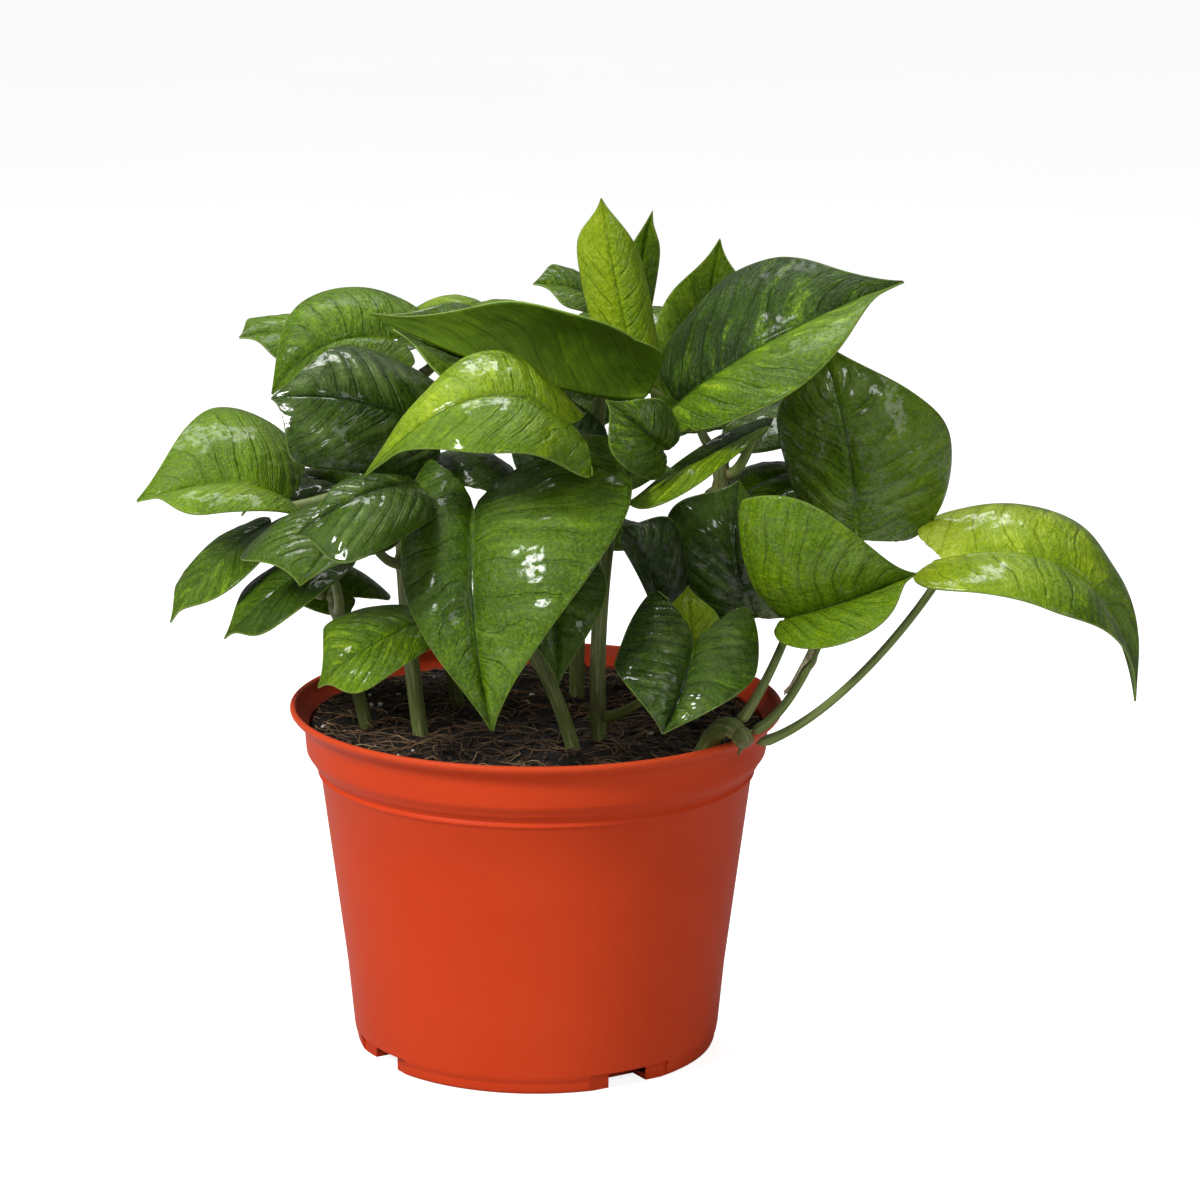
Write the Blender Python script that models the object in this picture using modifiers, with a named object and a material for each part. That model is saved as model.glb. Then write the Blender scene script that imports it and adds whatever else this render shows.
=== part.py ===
"""Potted pothos plant: a plastic nursery pot, its potting soil, rooted vines and heart-shaped leaves."""

import math
from collections import namedtuple

import bmesh
import bpy
from mathutils import Vector

MM = 0.001
NAME = "potted_pothos_plant"

# ---------------------------------------------------------------- pot (mm)
POT_HEIGHT = 117.5
LIP_RADIUS = 82.5
LIP_WIDTH = 2.2
LIP_DEPTH = 6.5
COLLAR_RADIUS = 77.5
COLLAR_DEPTH = 15.5
BODY_RADIUS = 72.3
FOOT_RADIUS = 61.2
CONTACT_RADIUS = 59.7
STEP_DEPTH = 23.5
WALL = 1.3
FLOOR = 1.8
HEEL_WALL = 3.0
HEEL_HEIGHT = 6.4
POT_SEGMENTS = 52

SLOT_COUNT = 4
SLOT_TURN = 31.0
SLOT_WIDTH = 14.5
SLOT_HEIGHT = 5.0
SLOT_REACH = 13.0
RECESS_WIDTH = 30.0
RECESS_HEIGHT = 6.0
RECESS_DEPTH = 1.3

# --------------------------------------------------------------- soil (mm)
CLEARANCE = 0.3
SOIL_DROP = 6.5
SOIL_MOUND = 1.6
SOIL_RINGS = 6
DRAIN_GAP = 10.0

# -------------------------------------------------------------- plant (mm)
PLANTED_LIP = 117.5
BLADE_THICKNESS = 0.9
STALK_RADIUS = 1.9
STALK_NECK = 1.3
STALK_BEND = 14.0
BLADE_ROWS = 7
BLADE_SIDES = 2
STALK_STEPS = 6
VINE_STEPS = 9

Vine = namedtuple("Vine", "name radius foot middle top")
VINES = (
    Vine("vine_centre", 2.6, (22, -30, 96), (21, -30, 158), (31, -20, 222)),
    Vine("vine_front", 2.4, (15, -38, 96), (7, -42, 128), (-8, -46, 158)),
    Vine("vine_left", 2.6, (-36, -20, 96), (-42, -26, 150), (-44, -30, 205)),
    Vine("vine_left_low", 2.2, (-54, -6, 96), (-60, -14, 128), (-68, -14, 160)),
    Vine("vine_back_left", 2.4, (-24, 16, 96), (-34, 12, 165), (-40, 6, 228)),
    Vine("vine_back", 2.6, (14, 22, 96), (16, 20, 170), (26, 12, 244)),
    Vine("vine_right", 2.6, (50, -4, 96), (56, -8, 150), (62, -10, 210)),
    Vine("vine_rim", 3.2, (50, -42, 98), (59, -52, 121.5), (68, -62, 118.5)),
)

# One row per leaf.  The rib runs from base through middle to tip; left and right are the edges at the
# widest place, seen walking from base to tip.  crown bows each half, lobe is how far each half reaches
# behind the base as a share of the rib.
Leaf = namedtuple("Leaf", "name vine height base middle tip left right crown lobe widest inner colour")
EVEN = (0.12, 0.12)
HEART = (0.2, 0.2)
THIRD = (0.32, 0.32)
LIME = (0.42, 0.55, 0.04)
FRESH = (0.18, 0.36, 0.03)
GREEN = (0.08, 0.22, 0.02)
DEEP = (0.03, 0.12, 0.01)
LEAVES = (
    Leaf("leaf_front_big", "vine_centre", 0.72, (-20, -58, 196), (-20, -81, 168), (-14, -81, 129),
         (30, -70, 203), (-43, -64, 182), (0.14, 0.2), (0.12, 0.2), (0.24, 0.3), (0.85, 0.55), GREEN),
    Leaf("leaf_lime_arch", "vine_centre", 0.9, (10, -68, 226), (-20, -82, 236), (-54, -72, 209),
         (-7, -98, 222), (-5, -52, 242), EVEN, (0.14, 0.14), (0.26, 0.28), (0.8, 0.7), LIME),
    Leaf("leaf_lime_upright", "vine_centre", 0.98, (33, -10, 227), (26, -13, 260), (21, -8, 288),
         (14, -6, 265), (36, -4, 259), (0.1, 0.2), (0.05, 0.05), (0.5, 0.45), (0.42, 0.42), LIME),
    Leaf("leaf_young_behind", "vine_back", 0.94, (31, 6, 235), (34, 9, 261), (38, 5, 282),
         (28, 10, 258), (40, 9, 261), (0.1, 0.1), (0.1, 0.1), (0.4, 0.4), (0.42, 0.42), FRESH),
    Leaf("leaf_crown_right", "vine_back", 0.88, (50, 20, 214), (56, 26, 242), (61, 24, 270),
         (40, 28, 238), (70, 30, 238), (0.1, 0.1), (0.15, 0.15), THIRD, (0.42, 0.42), FRESH),
    Leaf("leaf_right_top", "vine_right", 0.96, (47, -22, 224), (76, -37, 247), (117, -36, 265),
         (66, -6, 264), (76, -64, 232), EVEN, (0.1, 0.07), THIRD, (0.42, 0.42), FRESH),
    Leaf("leaf_right_glossy", "vine_rim", 0.9, (105, -18, 177), (101, -28, 210), (92, -20, 243),
         (79, -12, 213), (136, -12, 209), (0.14, 0.14), (0.05, 0.0), (0.5, 0.5), (0.35, 0.4), GREEN),
    Leaf("leaf_right_folded", "vine_rim", 0.76, (80, -42, 156), (98, -57, 165), (121, -56, 174),
         (66, -58, 199), (98, -74, 156), (0.1, 0.1), (0.05, 0.05), (0.04, 0.35), (0.3, 0.3), GREEN),
    Leaf("leaf_far_right", "vine_rim", 1.0, (132, -28, 173), (176, -30, 168), (197, -25, 124),
         (165, -2, 185), (163, -58, 163), (0.14, 0.14), (0.0, 0.06), (0.5, 0.5), (0.3, 0.42), LIME),
    Leaf("leaf_front_heart", "vine_centre", 0.2, (50, -63, 152), (46, -74, 140), (40, -77, 127),
         (70, -71, 146), (25, -71, 149), (0.16, 0.16), (0.22, 0.45), (0.5, 0.5), (0.6, 0.62), GREEN),
    Leaf("leaf_left_big", "vine_left", 0.93, (-82, -28, 192), (-100, -34, 199), (-129, -34, 193),
         (-104, -56, 194), (-100, 8, 216), (0.12, 0.14), (0.15, 0.15), (0.5, 0.35), (0.42, 0.42), FRESH),
    Leaf("leaf_left_dark", "vine_left", 0.98, (-34, -34, 218), (-61, -50, 230), (-84, -50, 230),
         (-70, -58, 209), (-55, -22, 241), EVEN, HEART, THIRD, (0.42, 0.42), DEEP),
    Leaf("leaf_left_glossy", "vine_left", 0.85, (-39, -54, 203), (-55, -81, 205), (-75, -84, 193),
         (-50, -96, 190), (-57, -67, 208), EVEN, (0.12, 0.12), THIRD, (0.42, 0.42), GREEN),
    Leaf("leaf_left_lower", "vine_left", 0.7, (-55, -52, 192), (-64, -66, 187), (-74, -80, 176),
         (-46, -58, 183), (-93, -56, 181), (0.14, 0.14), (0.1, 0.15), (0.4, 0.4), (0.42, 0.42), GREEN),
    Leaf("leaf_left_veined", "vine_back_left", 0.97, (-47, -8, 242), (-69, -14, 241), (-86, -16, 225),
         (-62, -24, 228), (-65, 8, 256), EVEN, HEART, THIRD, (0.42, 0.42), FRESH),
    Leaf("leaf_left_pale_tip", "vine_back_left", 0.9, (-52, 20, 238), (-78, 24, 239), (-99, 22, 237),
         (-78, 12, 230), (-83, 44, 240), EVEN, HEART, THIRD, (0.42, 0.42), FRESH),
    Leaf("leaf_upper_long", "vine_centre", 0.93, (34, -32, 227), (0, -38, 234), (-53, -38, 255),
         (12, -54, 258), (-12, -12, 250), (0.1, 0.1), (0.1, 0.1), (0.35, 0.5), (0.42, 0.42), DEEP),
    Leaf("leaf_crown_back", "vine_back", 0.98, (24, 18, 248), (12, 14, 255), (-1, 10, 257),
         (12, 2, 250), (12, 32, 258), EVEN, HEART, THIRD, (0.42, 0.42), GREEN),
    Leaf("leaf_centre_round", "vine_centre", 0.87, (41, -50, 213), (34, -60, 222), (22, -58, 231),
         (27, -68, 212), (41, -53, 229), (0.14, 0.14), (0.15, 0.15), THIRD, (0.42, 0.42), DEEP),
    Leaf("leaf_centre_long", "vine_right", 0.9, (74, -18, 213), (53, -40, 207), (24, -54, 193),
         (46, -60, 201), (60, -28, 214), EVEN, (0.12, 0.12), THIRD, (0.42, 0.42), DEEP),
    Leaf("leaf_low_left", "vine_front", 0.95, (-36, -58, 158), (-52, -72, 155), (-69, -72, 141),
         (-49, -84, 146), (-66, -56, 158), (0.14, 0.14), HEART, THIRD, (0.42, 0.42), FRESH),
    Leaf("leaf_hanging_olive", "vine_left_low", 0.97, (-88, -14, 181), (-105, -24, 170), (-120, -22, 150),
         (-94, -40, 170), (-117, -8, 163), (0.1, 0.1), HEART, THIRD, (0.42, 0.42), FRESH),
    Leaf("leaf_hanging_green", "vine_left_low", 0.88, (-66, -30, 173), (-83, -42, 166), (-101, -40, 149),
         (-79, -56, 160), (-93, -26, 165), (0.1, 0.1), HEART, THIRD, (0.42, 0.42), GREEN),
    Leaf("leaf_centre_dark", "vine_right", 0.4, (40, -38, 160), (35, -46, 177), (27, -48, 188),
         (29, -51, 179), (46, -36, 184), (0.1, 0.1), (0.15, 0.15), THIRD, (0.42, 0.42), DEEP),
    Leaf("leaf_right_dark", "vine_right", 0.34, (71, -23, 153), (65, -30, 176), (66, -20, 197),
         (42, -26, 180), (96, -8, 175), EVEN, HEART, THIRD, (0.42, 0.42), DEEP),
    Leaf("leaf_front_lower", "vine_front", 0.75, (3, -50, 174), (6, -62, 160), (7, -66, 140),
         (22, -50, 171), (-10, -56, 166), (0.1, 0.1), (0.12, 0.12), THIRD, (0.42, 0.42), GREEN),
    Leaf("leaf_lime_small", "vine_right", 0.2, (53, -42, 136), (50, -46, 155), (49, -42, 167),
         (40, -42, 150), (60, -40, 152), (0.1, 0.1), HEART, THIRD, (0.42, 0.42), LIME),
    Leaf("leaf_back_low", "vine_back", 0.4, (10, 52, 162), (12, 78, 163), (14, 98, 142),
         (-20, 72, 158), (44, 72, 158), EVEN, HEART, THIRD, (0.42, 0.42), GREEN),
    Leaf("leaf_back_left_low", "vine_back_left", 0.5, (-40, 38, 172), (-62, 60, 170), (-80, 74, 148),
         (-74, 34, 164), (-34, 72, 168), EVEN, HEART, THIRD, (0.42, 0.42), FRESH),
    Leaf("leaf_back_right_low", "vine_right", 0.5, (60, 34, 168), (82, 54, 168), (100, 68, 148),
         (52, 66, 166), (90, 24, 163), EVEN, HEART, THIRD, (0.42, 0.42), FRESH),
    Leaf("leaf_back_high", "vine_back", 0.7, (4, 44, 212), (2, 68, 220), (-2, 94, 204),
         (-28, 62, 214), (32, 62, 214), EVEN, HEART, THIRD, (0.42, 0.42), FRESH),
    Leaf("leaf_back_left_high", "vine_back_left", 0.8, (-44, 34, 204), (-66, 50, 208), (-86, 62, 192),
         (-76, 24, 200), (-42, 68, 206), EVEN, HEART, THIRD, (0.42, 0.42), GREEN),
    Leaf("leaf_back_right_high", "vine_right", 0.85, (64, 28, 206), (86, 44, 210), (106, 54, 194),
         (62, 58, 208), (94, 18, 202), EVEN, HEART, THIRD, (0.42, 0.42), GREEN),
    Leaf("leaf_centre_back", "vine_centre", 0.7, (14, -14, 192), (12, -22, 210), (8, -22, 228),
         (-8, -16, 206), (23, -14, 210), (0.1, 0.1), HEART, THIRD, (0.42, 0.42), DEEP),
    Leaf("leaf_mid_back", "vine_back", 0.75, (4, -6, 228), (-20, -22, 236), (-46, -26, 248),
         (-18, -38, 228), (-20, -4, 240), (0.1, 0.1), HEART, THIRD, (0.42, 0.42), FRESH),
    Leaf("leaf_back_mid", "vine_back", 0.55, (18, 44, 186), (24, 66, 190), (28, 88, 174),
         (-4, 60, 184), (48, 60, 184), EVEN, HEART, THIRD, (0.42, 0.42), GREEN),
    Leaf("leaf_back_left_mid", "vine_back_left", 0.65, (-26, 32, 186), (-34, 58, 190), (-40, 82, 176),
         (-56, 52, 184), (-10, 62, 186), EVEN, HEART, THIRD, (0.42, 0.42), DEEP),
    Leaf("leaf_back_right_mid", "vine_right", 0.68, (70, 16, 186), (92, 28, 190), (112, 38, 176),
         (78, 50, 186), (98, 6, 184), EVEN, HEART, THIRD, (0.42, 0.42), DEEP),
    Leaf("leaf_left_side", "vine_back_left", 0.58, (-60, 14, 186), (-82, 24, 188), (-100, 32, 174),
         (-80, 0, 184), (-78, 48, 184), EVEN, HEART, THIRD, (0.42, 0.42), GREEN),
    Leaf("leaf_back_crown", "vine_back_left", 0.99, (-28, 14, 240), (-20, 32, 247), (-16, 52, 240),
         (-44, 28, 243), (4, 36, 243), EVEN, HEART, THIRD, (0.42, 0.42), GREEN),
    Leaf("leaf_back_top", "vine_back", 0.96, (30, 37, 236), (36, 54, 242), (44, 74, 230),
         (10, 56, 236), (60, 46, 236), EVEN, (0.1, 0.1), THIRD, (0.42, 0.42), FRESH),
    Leaf("leaf_low_back_left", "vine_left_low", 0.75, (-62, 10, 152), (-80, 24, 158), (-94, 34, 148),
         (-88, 6, 152), (-64, 42, 152), EVEN, HEART, THIRD, (0.42, 0.42), GREEN),
    Leaf("leaf_low_back_right", "vine_right", 0.37, (66, 14, 150), (84, 26, 154), (98, 36, 142),
         (64, 44, 150), (90, 4, 150), EVEN, HEART, THIRD, (0.42, 0.42), GREEN),
)


def mm(*values):
    return Vector(values) * MM


def planted(x, y, z):
    """Point of a vine or leaf, whose rows are given for a pot with its lip at PLANTED_LIP."""
    return mm(x, y, z + (POT_HEIGHT - PLANTED_LIP))


def polar(radius, degrees, z=0.0):
    """Point at a turn from the front (-Y) towards +X, in metres."""
    turn = math.radians(degrees)
    return Vector((radius * math.sin(turn), -radius * math.cos(turn), z)) * MM


# ------------------------------------------------------------- scene setup
def clear_scene():
    for obj in list(bpy.data.objects):
        bpy.data.objects.remove(obj, do_unlink=True)
    for group in list(bpy.data.collections):
        bpy.data.collections.remove(group)


def new_collection(name):
    group = bpy.data.collections.new(name)
    bpy.context.scene.collection.children.link(group)
    return group


def surface(name, colour, roughness):
    material = bpy.data.materials.new(name)
    material.use_nodes = True
    shader = material.node_tree.nodes["Principled BSDF"]
    shader.inputs["Base Color"].default_value = (*colour, 1.0)
    shader.inputs["Roughness"].default_value = roughness
    shader.inputs["Metallic"].default_value = 0.0
    return material


def add_object(name, mesh, group, place=Vector(), parent=None, material=None):
    obj = bpy.data.objects.new(name, mesh)
    group.objects.link(obj)
    obj.location = place
    if parent:
        obj.parent = parent
    if material:
        obj.data.materials.clear()
        obj.data.materials.append(material)
    return obj


def as_cutter(obj):
    obj.hide_render = True
    obj.display_type = 'WIRE'
    return obj


def boolean(target, other, operation):
    modifier = target.modifiers.new(other.name, 'BOOLEAN')
    modifier.operation = operation
    modifier.solver = 'EXACT'
    modifier.object = other
    return modifier


def turned(name, profile, group, segments, parent=None, material=None):
    """Profile points (radius, height) in mm, swept once round the Z axis."""
    mesh = bpy.data.meshes.new(name)
    builder = bmesh.new()
    points = [builder.verts.new(mm(radius, 0, z)) for radius, z in profile]
    for first, second in zip(points, points[1:]):
        builder.edges.new((first, second))
    builder.to_mesh(mesh)
    builder.free()
    obj = add_object(name, mesh, group, parent=parent, material=material)
    screw = obj.modifiers.new("turn", 'SCREW')
    screw.steps = segments
    screw.render_steps = segments
    screw.use_merge_vertices = True
    screw.merge_threshold = 0.00001
    screw.use_smooth_shade = True
    return obj


def tube(name, points, radii, group, place=Vector(), resolution=1):
    """Round solid along points (metres, relative to place), as a welded mesh."""
    curve = bpy.data.curves.new(name, 'CURVE')
    curve.dimensions = '3D'
    curve.bevel_depth = 1.0
    curve.bevel_resolution = resolution
    curve.use_fill_caps = True
    spline = curve.splines.new('POLY')
    spline.points.add(len(points) - 1)
    for knot, point, radius in zip(spline.points, points, radii):
        knot.co = (*point, 1.0)
        knot.radius = radius * MM
    source = add_object(name + "_path", curve, group, place)
    bpy.context.view_layer.update()
    evaluated = source.evaluated_get(bpy.context.evaluated_depsgraph_get())
    mesh = bpy.data.meshes.new_from_object(evaluated)
    mesh.name = name
    bpy.data.objects.remove(source, do_unlink=True)
    builder = bmesh.new()
    builder.from_mesh(mesh)
    bmesh.ops.remove_doubles(builder, verts=builder.verts, dist=0.00001)
    bmesh.ops.recalc_face_normals(builder, faces=builder.faces)
    for face in builder.faces:
        face.smooth = True
    builder.to_mesh(mesh)
    builder.free()
    return mesh


# --------------------------------------------------------------------- pot
def pot_profile():
    """Inner floor centre, up the inside, over the lip, down the outside to the floor centre."""
    top = POT_HEIGHT
    lip_bottom = top - LIP_DEPTH
    collar_bottom = top - COLLAR_DEPTH
    step = top - STEP_DEPTH
    inner = [
        (0.0, FLOOR),
        (FOOT_RADIUS - HEEL_WALL - 1.2, FLOOR),
        (FOOT_RADIUS - HEEL_WALL, FLOOR + 1.2),
        (FOOT_RADIUS - HEEL_WALL + 0.5, HEEL_HEIGHT),
        (FOOT_RADIUS - WALL + 0.8, HEEL_HEIGHT + 3.0),
        (BODY_RADIUS - WALL, step),
        (BODY_RADIUS - WALL + 1.6, step + 3.8),
        (COLLAR_RADIUS - 0.6 - WALL, collar_bottom - 0.6),
        (COLLAR_RADIUS - WALL, lip_bottom),
        (LIP_RADIUS - LIP_WIDTH - 0.7, top - 3.4),
        (LIP_RADIUS - LIP_WIDTH, top - 1.0),
        (LIP_RADIUS - LIP_WIDTH + 0.5, top),
    ]
    outer = [
        (LIP_RADIUS - 0.4, top),
        (LIP_RADIUS, top - 0.6),
        (LIP_RADIUS - 0.3, top - 1.9),
        (LIP_RADIUS - 2.4, top - 4.2),
        (COLLAR_RADIUS + 0.6, lip_bottom),
        (COLLAR_RADIUS, lip_bottom - 2.6),
        (COLLAR_RADIUS - 0.5, collar_bottom),
        (COLLAR_RADIUS - 1.6, collar_bottom - 2.9),
        (COLLAR_RADIUS - 3.3, collar_bottom - 5.0),
        (BODY_RADIUS + 0.7, collar_bottom - 5.8),
        (BODY_RADIUS + 1.1, collar_bottom - 6.8),
        (BODY_RADIUS, step - 0.4),
        (FOOT_RADIUS + 0.7, 6.8),
        (FOOT_RADIUS, 4.0),
        (FOOT_RADIUS - 0.5, 1.2),
        (CONTACT_RADIUS, 0.0),
        (0.0, 0.0),
    ]
    return inner + outer


def block(name, size, centre, turn, group):
    mesh = bpy.data.meshes.new(name)
    builder = bmesh.new()
    bmesh.ops.create_cube(builder, size=1.0)
    bmesh.ops.scale(builder, vec=size * MM, verts=builder.verts)
    builder.to_mesh(mesh)
    builder.free()
    obj = as_cutter(add_object(name, mesh, group, centre))
    obj.rotation_euler = (0.0, 0.0, turn)
    return obj


def add_pot(parts, cutters, root):
    pot = turned("pot", pot_profile(), parts, POT_SEGMENTS, root,
                 surface("pot_terracotta_plastic", (0.62, 0.075, 0.02), 0.42))
    for index in range(SLOT_COUNT):
        degrees = SLOT_TURN + index * 360.0 / SLOT_COUNT
        turn = math.radians(degrees)
        recess = block(f"recess_cutter_{index}", Vector((RECESS_WIDTH, 10.0, 2.0 * RECESS_HEIGHT)),
                       polar(FOOT_RADIUS - RECESS_DEPTH + 3.4, degrees), turn, cutters)
        slot = block(f"slot_cutter_{index}", Vector((SLOT_WIDTH, SLOT_REACH, 2.0 * SLOT_HEIGHT)),
                     polar(FOOT_RADIUS + 1.0 - 0.5 * SLOT_REACH + 1.0, degrees), turn, cutters)
        boolean(pot, recess, 'DIFFERENCE')
        boolean(pot, slot, 'DIFFERENCE')
    return pot


# -------------------------------------------------------------------- soil
def soil_profile():
    """Centre of the underside, out under the drain gap, up the wall and back over the mounded top."""
    low = FLOOR + CLEARANCE
    heel = FOOT_RADIUS - HEEL_WALL - 1.2
    step = POT_HEIGHT - STEP_DEPTH
    rim = COLLAR_RADIUS - WALL - CLEARANCE - 0.7
    top = POT_HEIGHT - SOIL_DROP
    lower = [
        (0.0, low),
        (heel - DRAIN_GAP, low),
        (heel - 0.4 * DRAIN_GAP, HEEL_HEIGHT + 3.2),
        (FOOT_RADIUS - WALL - CLEARANCE, HEEL_HEIGHT + 5.0),
        (BODY_RADIUS - WALL - CLEARANCE - 0.2, step),
        (BODY_RADIUS - WALL - CLEARANCE + 1.2, step + 3.8),
        (rim - 0.4, POT_HEIGHT - COLLAR_DEPTH - 0.4),
        (rim, top - 0.8),
    ]
    upper = []
    for ring in range(SOIL_RINGS):
        radius = (rim - 0.8) * (1.0 - ring / SOIL_RINGS)
        upper.append((radius, top + SOIL_MOUND * (1.0 - (radius / rim) ** 2)))
    upper.append((0.0, top + SOIL_MOUND))
    return [(radius, z) for radius, z in reversed(lower + upper)]


def add_soil(parts, cutters, root):
    soil = turned("soil", soil_profile(), parts, POT_SEGMENTS // 2, root,
                  surface("potting_soil", (0.035, 0.02, 0.012), 0.95))
    for vine in VINES:
        points = vine_points(vine)
        radius = vine.radius + 2.0 * CLEARANCE
        first = points[0] - (points[1] - points[0]).normalized() * CLEARANCE * MM * 2.0
        mesh = tube(vine.name + "_socket", [first] + points[1:], [radius] * len(points), cutters,
                    resolution=2)
        boolean(soil, as_cutter(add_object(vine.name + "_socket", mesh, cutters)), 'DIFFERENCE')
    return soil


# ------------------------------------------------------------------- vines
def arc(first, middle, last, share):
    """Point and direction at a share of the smooth curve through three points."""
    handle = 2.0 * middle - 0.5 * (first + last)
    rest = 1.0 - share
    point = rest * rest * first + 2.0 * rest * share * handle + share * share * last
    direction = rest * (handle - first) + share * (last - handle)
    return point, direction.normalized()


def vine_points(vine):
    ends = [planted(*end) for end in (vine.foot, vine.middle, vine.top)]
    return [arc(*ends, step / VINE_STEPS)[0] for step in range(VINE_STEPS + 1)]


def add_vine(vine, parts, root):
    points = vine_points(vine)
    origin = points[0].copy()
    radii = [vine.radius] * (len(points) - 1) + [vine.radius * 0.8]
    mesh = tube(vine.name, [point - origin for point in points], radii, parts, resolution=2)
    return add_object(vine.name, mesh, parts, origin, root,
                      surface(vine.name + "_green", (0.16, 0.27, 0.07), 0.5))


# ------------------------------------------------------------------ leaves
def bezier(first, handle_one, handle_two, last, share):
    rest = 1.0 - share
    return (rest ** 3 * first + 3.0 * rest * rest * share * handle_one
            + 3.0 * rest * share * share * handle_two + share ** 3 * last)


def outline(share, lobe, widest, inner):
    """Edge of one half: x along the rib (base 0, tip 1), y across (rib 0, widest place 1)."""
    rear = Vector((-lobe, inner))
    side = Vector((widest, 1.0))
    tip = Vector((1.0, 0.012))
    cut = 0.36
    if share < cut:
        return bezier(rear, rear + Vector((-0.3 * lobe, 0.4 * (1.0 - inner))),
                      side - Vector((0.55 * (widest + lobe), 0.0)), side, share / cut)
    return bezier(side, side + Vector((0.5 * (1.0 - widest), 0.0)),
                  tip + Vector((-0.4 * (1.0 - widest), 0.26)), tip, (share - cut) / (1.0 - cut))


class Blade:
    """Curved leaf surface, in metres from the leaf's base."""

    def __init__(self, leaf):
        self.origin = planted(*leaf.base)
        self.ends = [planted(*end) - self.origin for end in (leaf.base, leaf.middle, leaf.tip)]
        self.length = sum((b - a).length for a, b in zip(self.ends, self.ends[1:]))
        self.edges = [planted(*leaf.left) - self.origin, planted(*leaf.right) - self.origin]
        self.leaf = leaf

    def rib(self, share):
        point, direction = arc(*self.ends, min(max(share, 0.0), 1.0))
        if share < 0.0:
            point = direction * share * self.length
        return point, direction

    def point(self, along, across):
        """Along 0 to 1 from lobe to tip, across -1 (left edge) to 1 (right edge)."""
        half = 1 if across > 0.0 else 0
        sign = 1.0 if across > 0.0 else -1.0
        across = abs(across)
        leaf = self.leaf
        edge = outline(along, leaf.lobe[half], leaf.widest[half], leaf.inner[half])
        blend = across ** (0.55 + 0.85 * min(1.0, along / 0.3))
        share = along ** 1.15 * (1.0 - blend) + edge.x * blend
        width = edge.y * across
        point, direction = self.rib(share)
        middle, start = self.rib(leaf.widest[half])
        chord = start.rotation_difference(direction) @ (self.edges[half] - middle)
        normal = chord.cross(direction).normalized() * sign
        bow = leaf.crown[half] * chord.length * 4.0 * width * (1.0 - width)
        return point + chord * width + normal * bow

    def face(self):
        """Direction the upper face looks in at the base."""
        direction = self.rib(0.0)[1]
        return direction.cross(self.edges[0] - self.edges[1]).normalized()


def blade_mesh(blade, name):
    mesh = bpy.data.meshes.new(name)
    builder = bmesh.new()
    bmesh.ops.create_grid(builder, x_segments=BLADE_ROWS, y_segments=2 * BLADE_SIDES, size=0.5)
    for vert in builder.verts:
        vert.co = blade.point(vert.co.x + 0.5, -2.0 * vert.co.y)
    for face in builder.faces:
        face.smooth = True
    builder.to_mesh(mesh)
    builder.free()
    return mesh


def stalk_path(leaf, blade):
    """Points from the vine's skin to just inside the blade, relative to the blade's base."""
    vine = next(vine for vine in VINES if vine.name == leaf.vine)
    ends = [planted(*end) - blade.origin for end in (vine.foot, vine.middle, vine.top)]
    node, growth = arc(*ends, leaf.height)
    forward = blade.rib(0.0)[1]
    away = -node
    away = (away - growth * away.dot(growth)).normalized()
    start = node + away * (vine.radius + 2.5 * CLEARANCE) * MM
    finish = forward * 2.0 * MM
    reach = (finish - start).length
    arrival = (0.5 * forward + 0.8 * blade.face()).normalized()
    leave = start + (away + 0.2 * growth).normalized() * 0.3 * reach
    approach = finish - arrival * min(0.35 * reach, STALK_BEND * MM)
    return [bezier(start, leave, approach, finish, step / STALK_STEPS) for step in range(STALK_STEPS + 1)]


def add_leaf(leaf, parts, cutters, root):
    blade = Blade(leaf)
    obj = add_object(leaf.name, blade_mesh(blade, leaf.name), parts, blade.origin, root,
                     surface(leaf.name + "_green", leaf.colour, 0.35))
    shell = obj.modifiers.new("thickness", 'SOLIDIFY')
    shell.thickness = BLADE_THICKNESS * MM
    shell.offset = 0.0
    path = stalk_path(leaf, blade)
    radii = [STALK_RADIUS + (STALK_NECK - STALK_RADIUS) * step / STALK_STEPS for step in range(len(path))]
    stalk = tube(leaf.name + "_stalk", path, radii, cutters)
    boolean(obj, as_cutter(add_object(leaf.name + "_stalk", stalk, cutters, blade.origin, root)), 'UNION')
    return obj


def main():
    clear_scene()
    parts = new_collection(NAME)
    cutters = new_collection("cutters")
    root = bpy.data.objects.new(NAME + "_root", None)
    parts.objects.link(root)
    add_pot(parts, cutters, root)
    add_soil(parts, cutters, root)
    for vine in VINES:
        add_vine(vine, parts, root)
    for leaf in LEAVES:
        add_leaf(leaf, parts, cutters, root)
    bpy.context.view_layer.update()


main()
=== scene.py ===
"""Potted pothos plant: the finished leaves, vines, potting soil, nursery pot and stage."""

import math
import random
from collections import namedtuple

import bmesh
import bpy
import numpy as np
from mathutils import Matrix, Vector, noise


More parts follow.
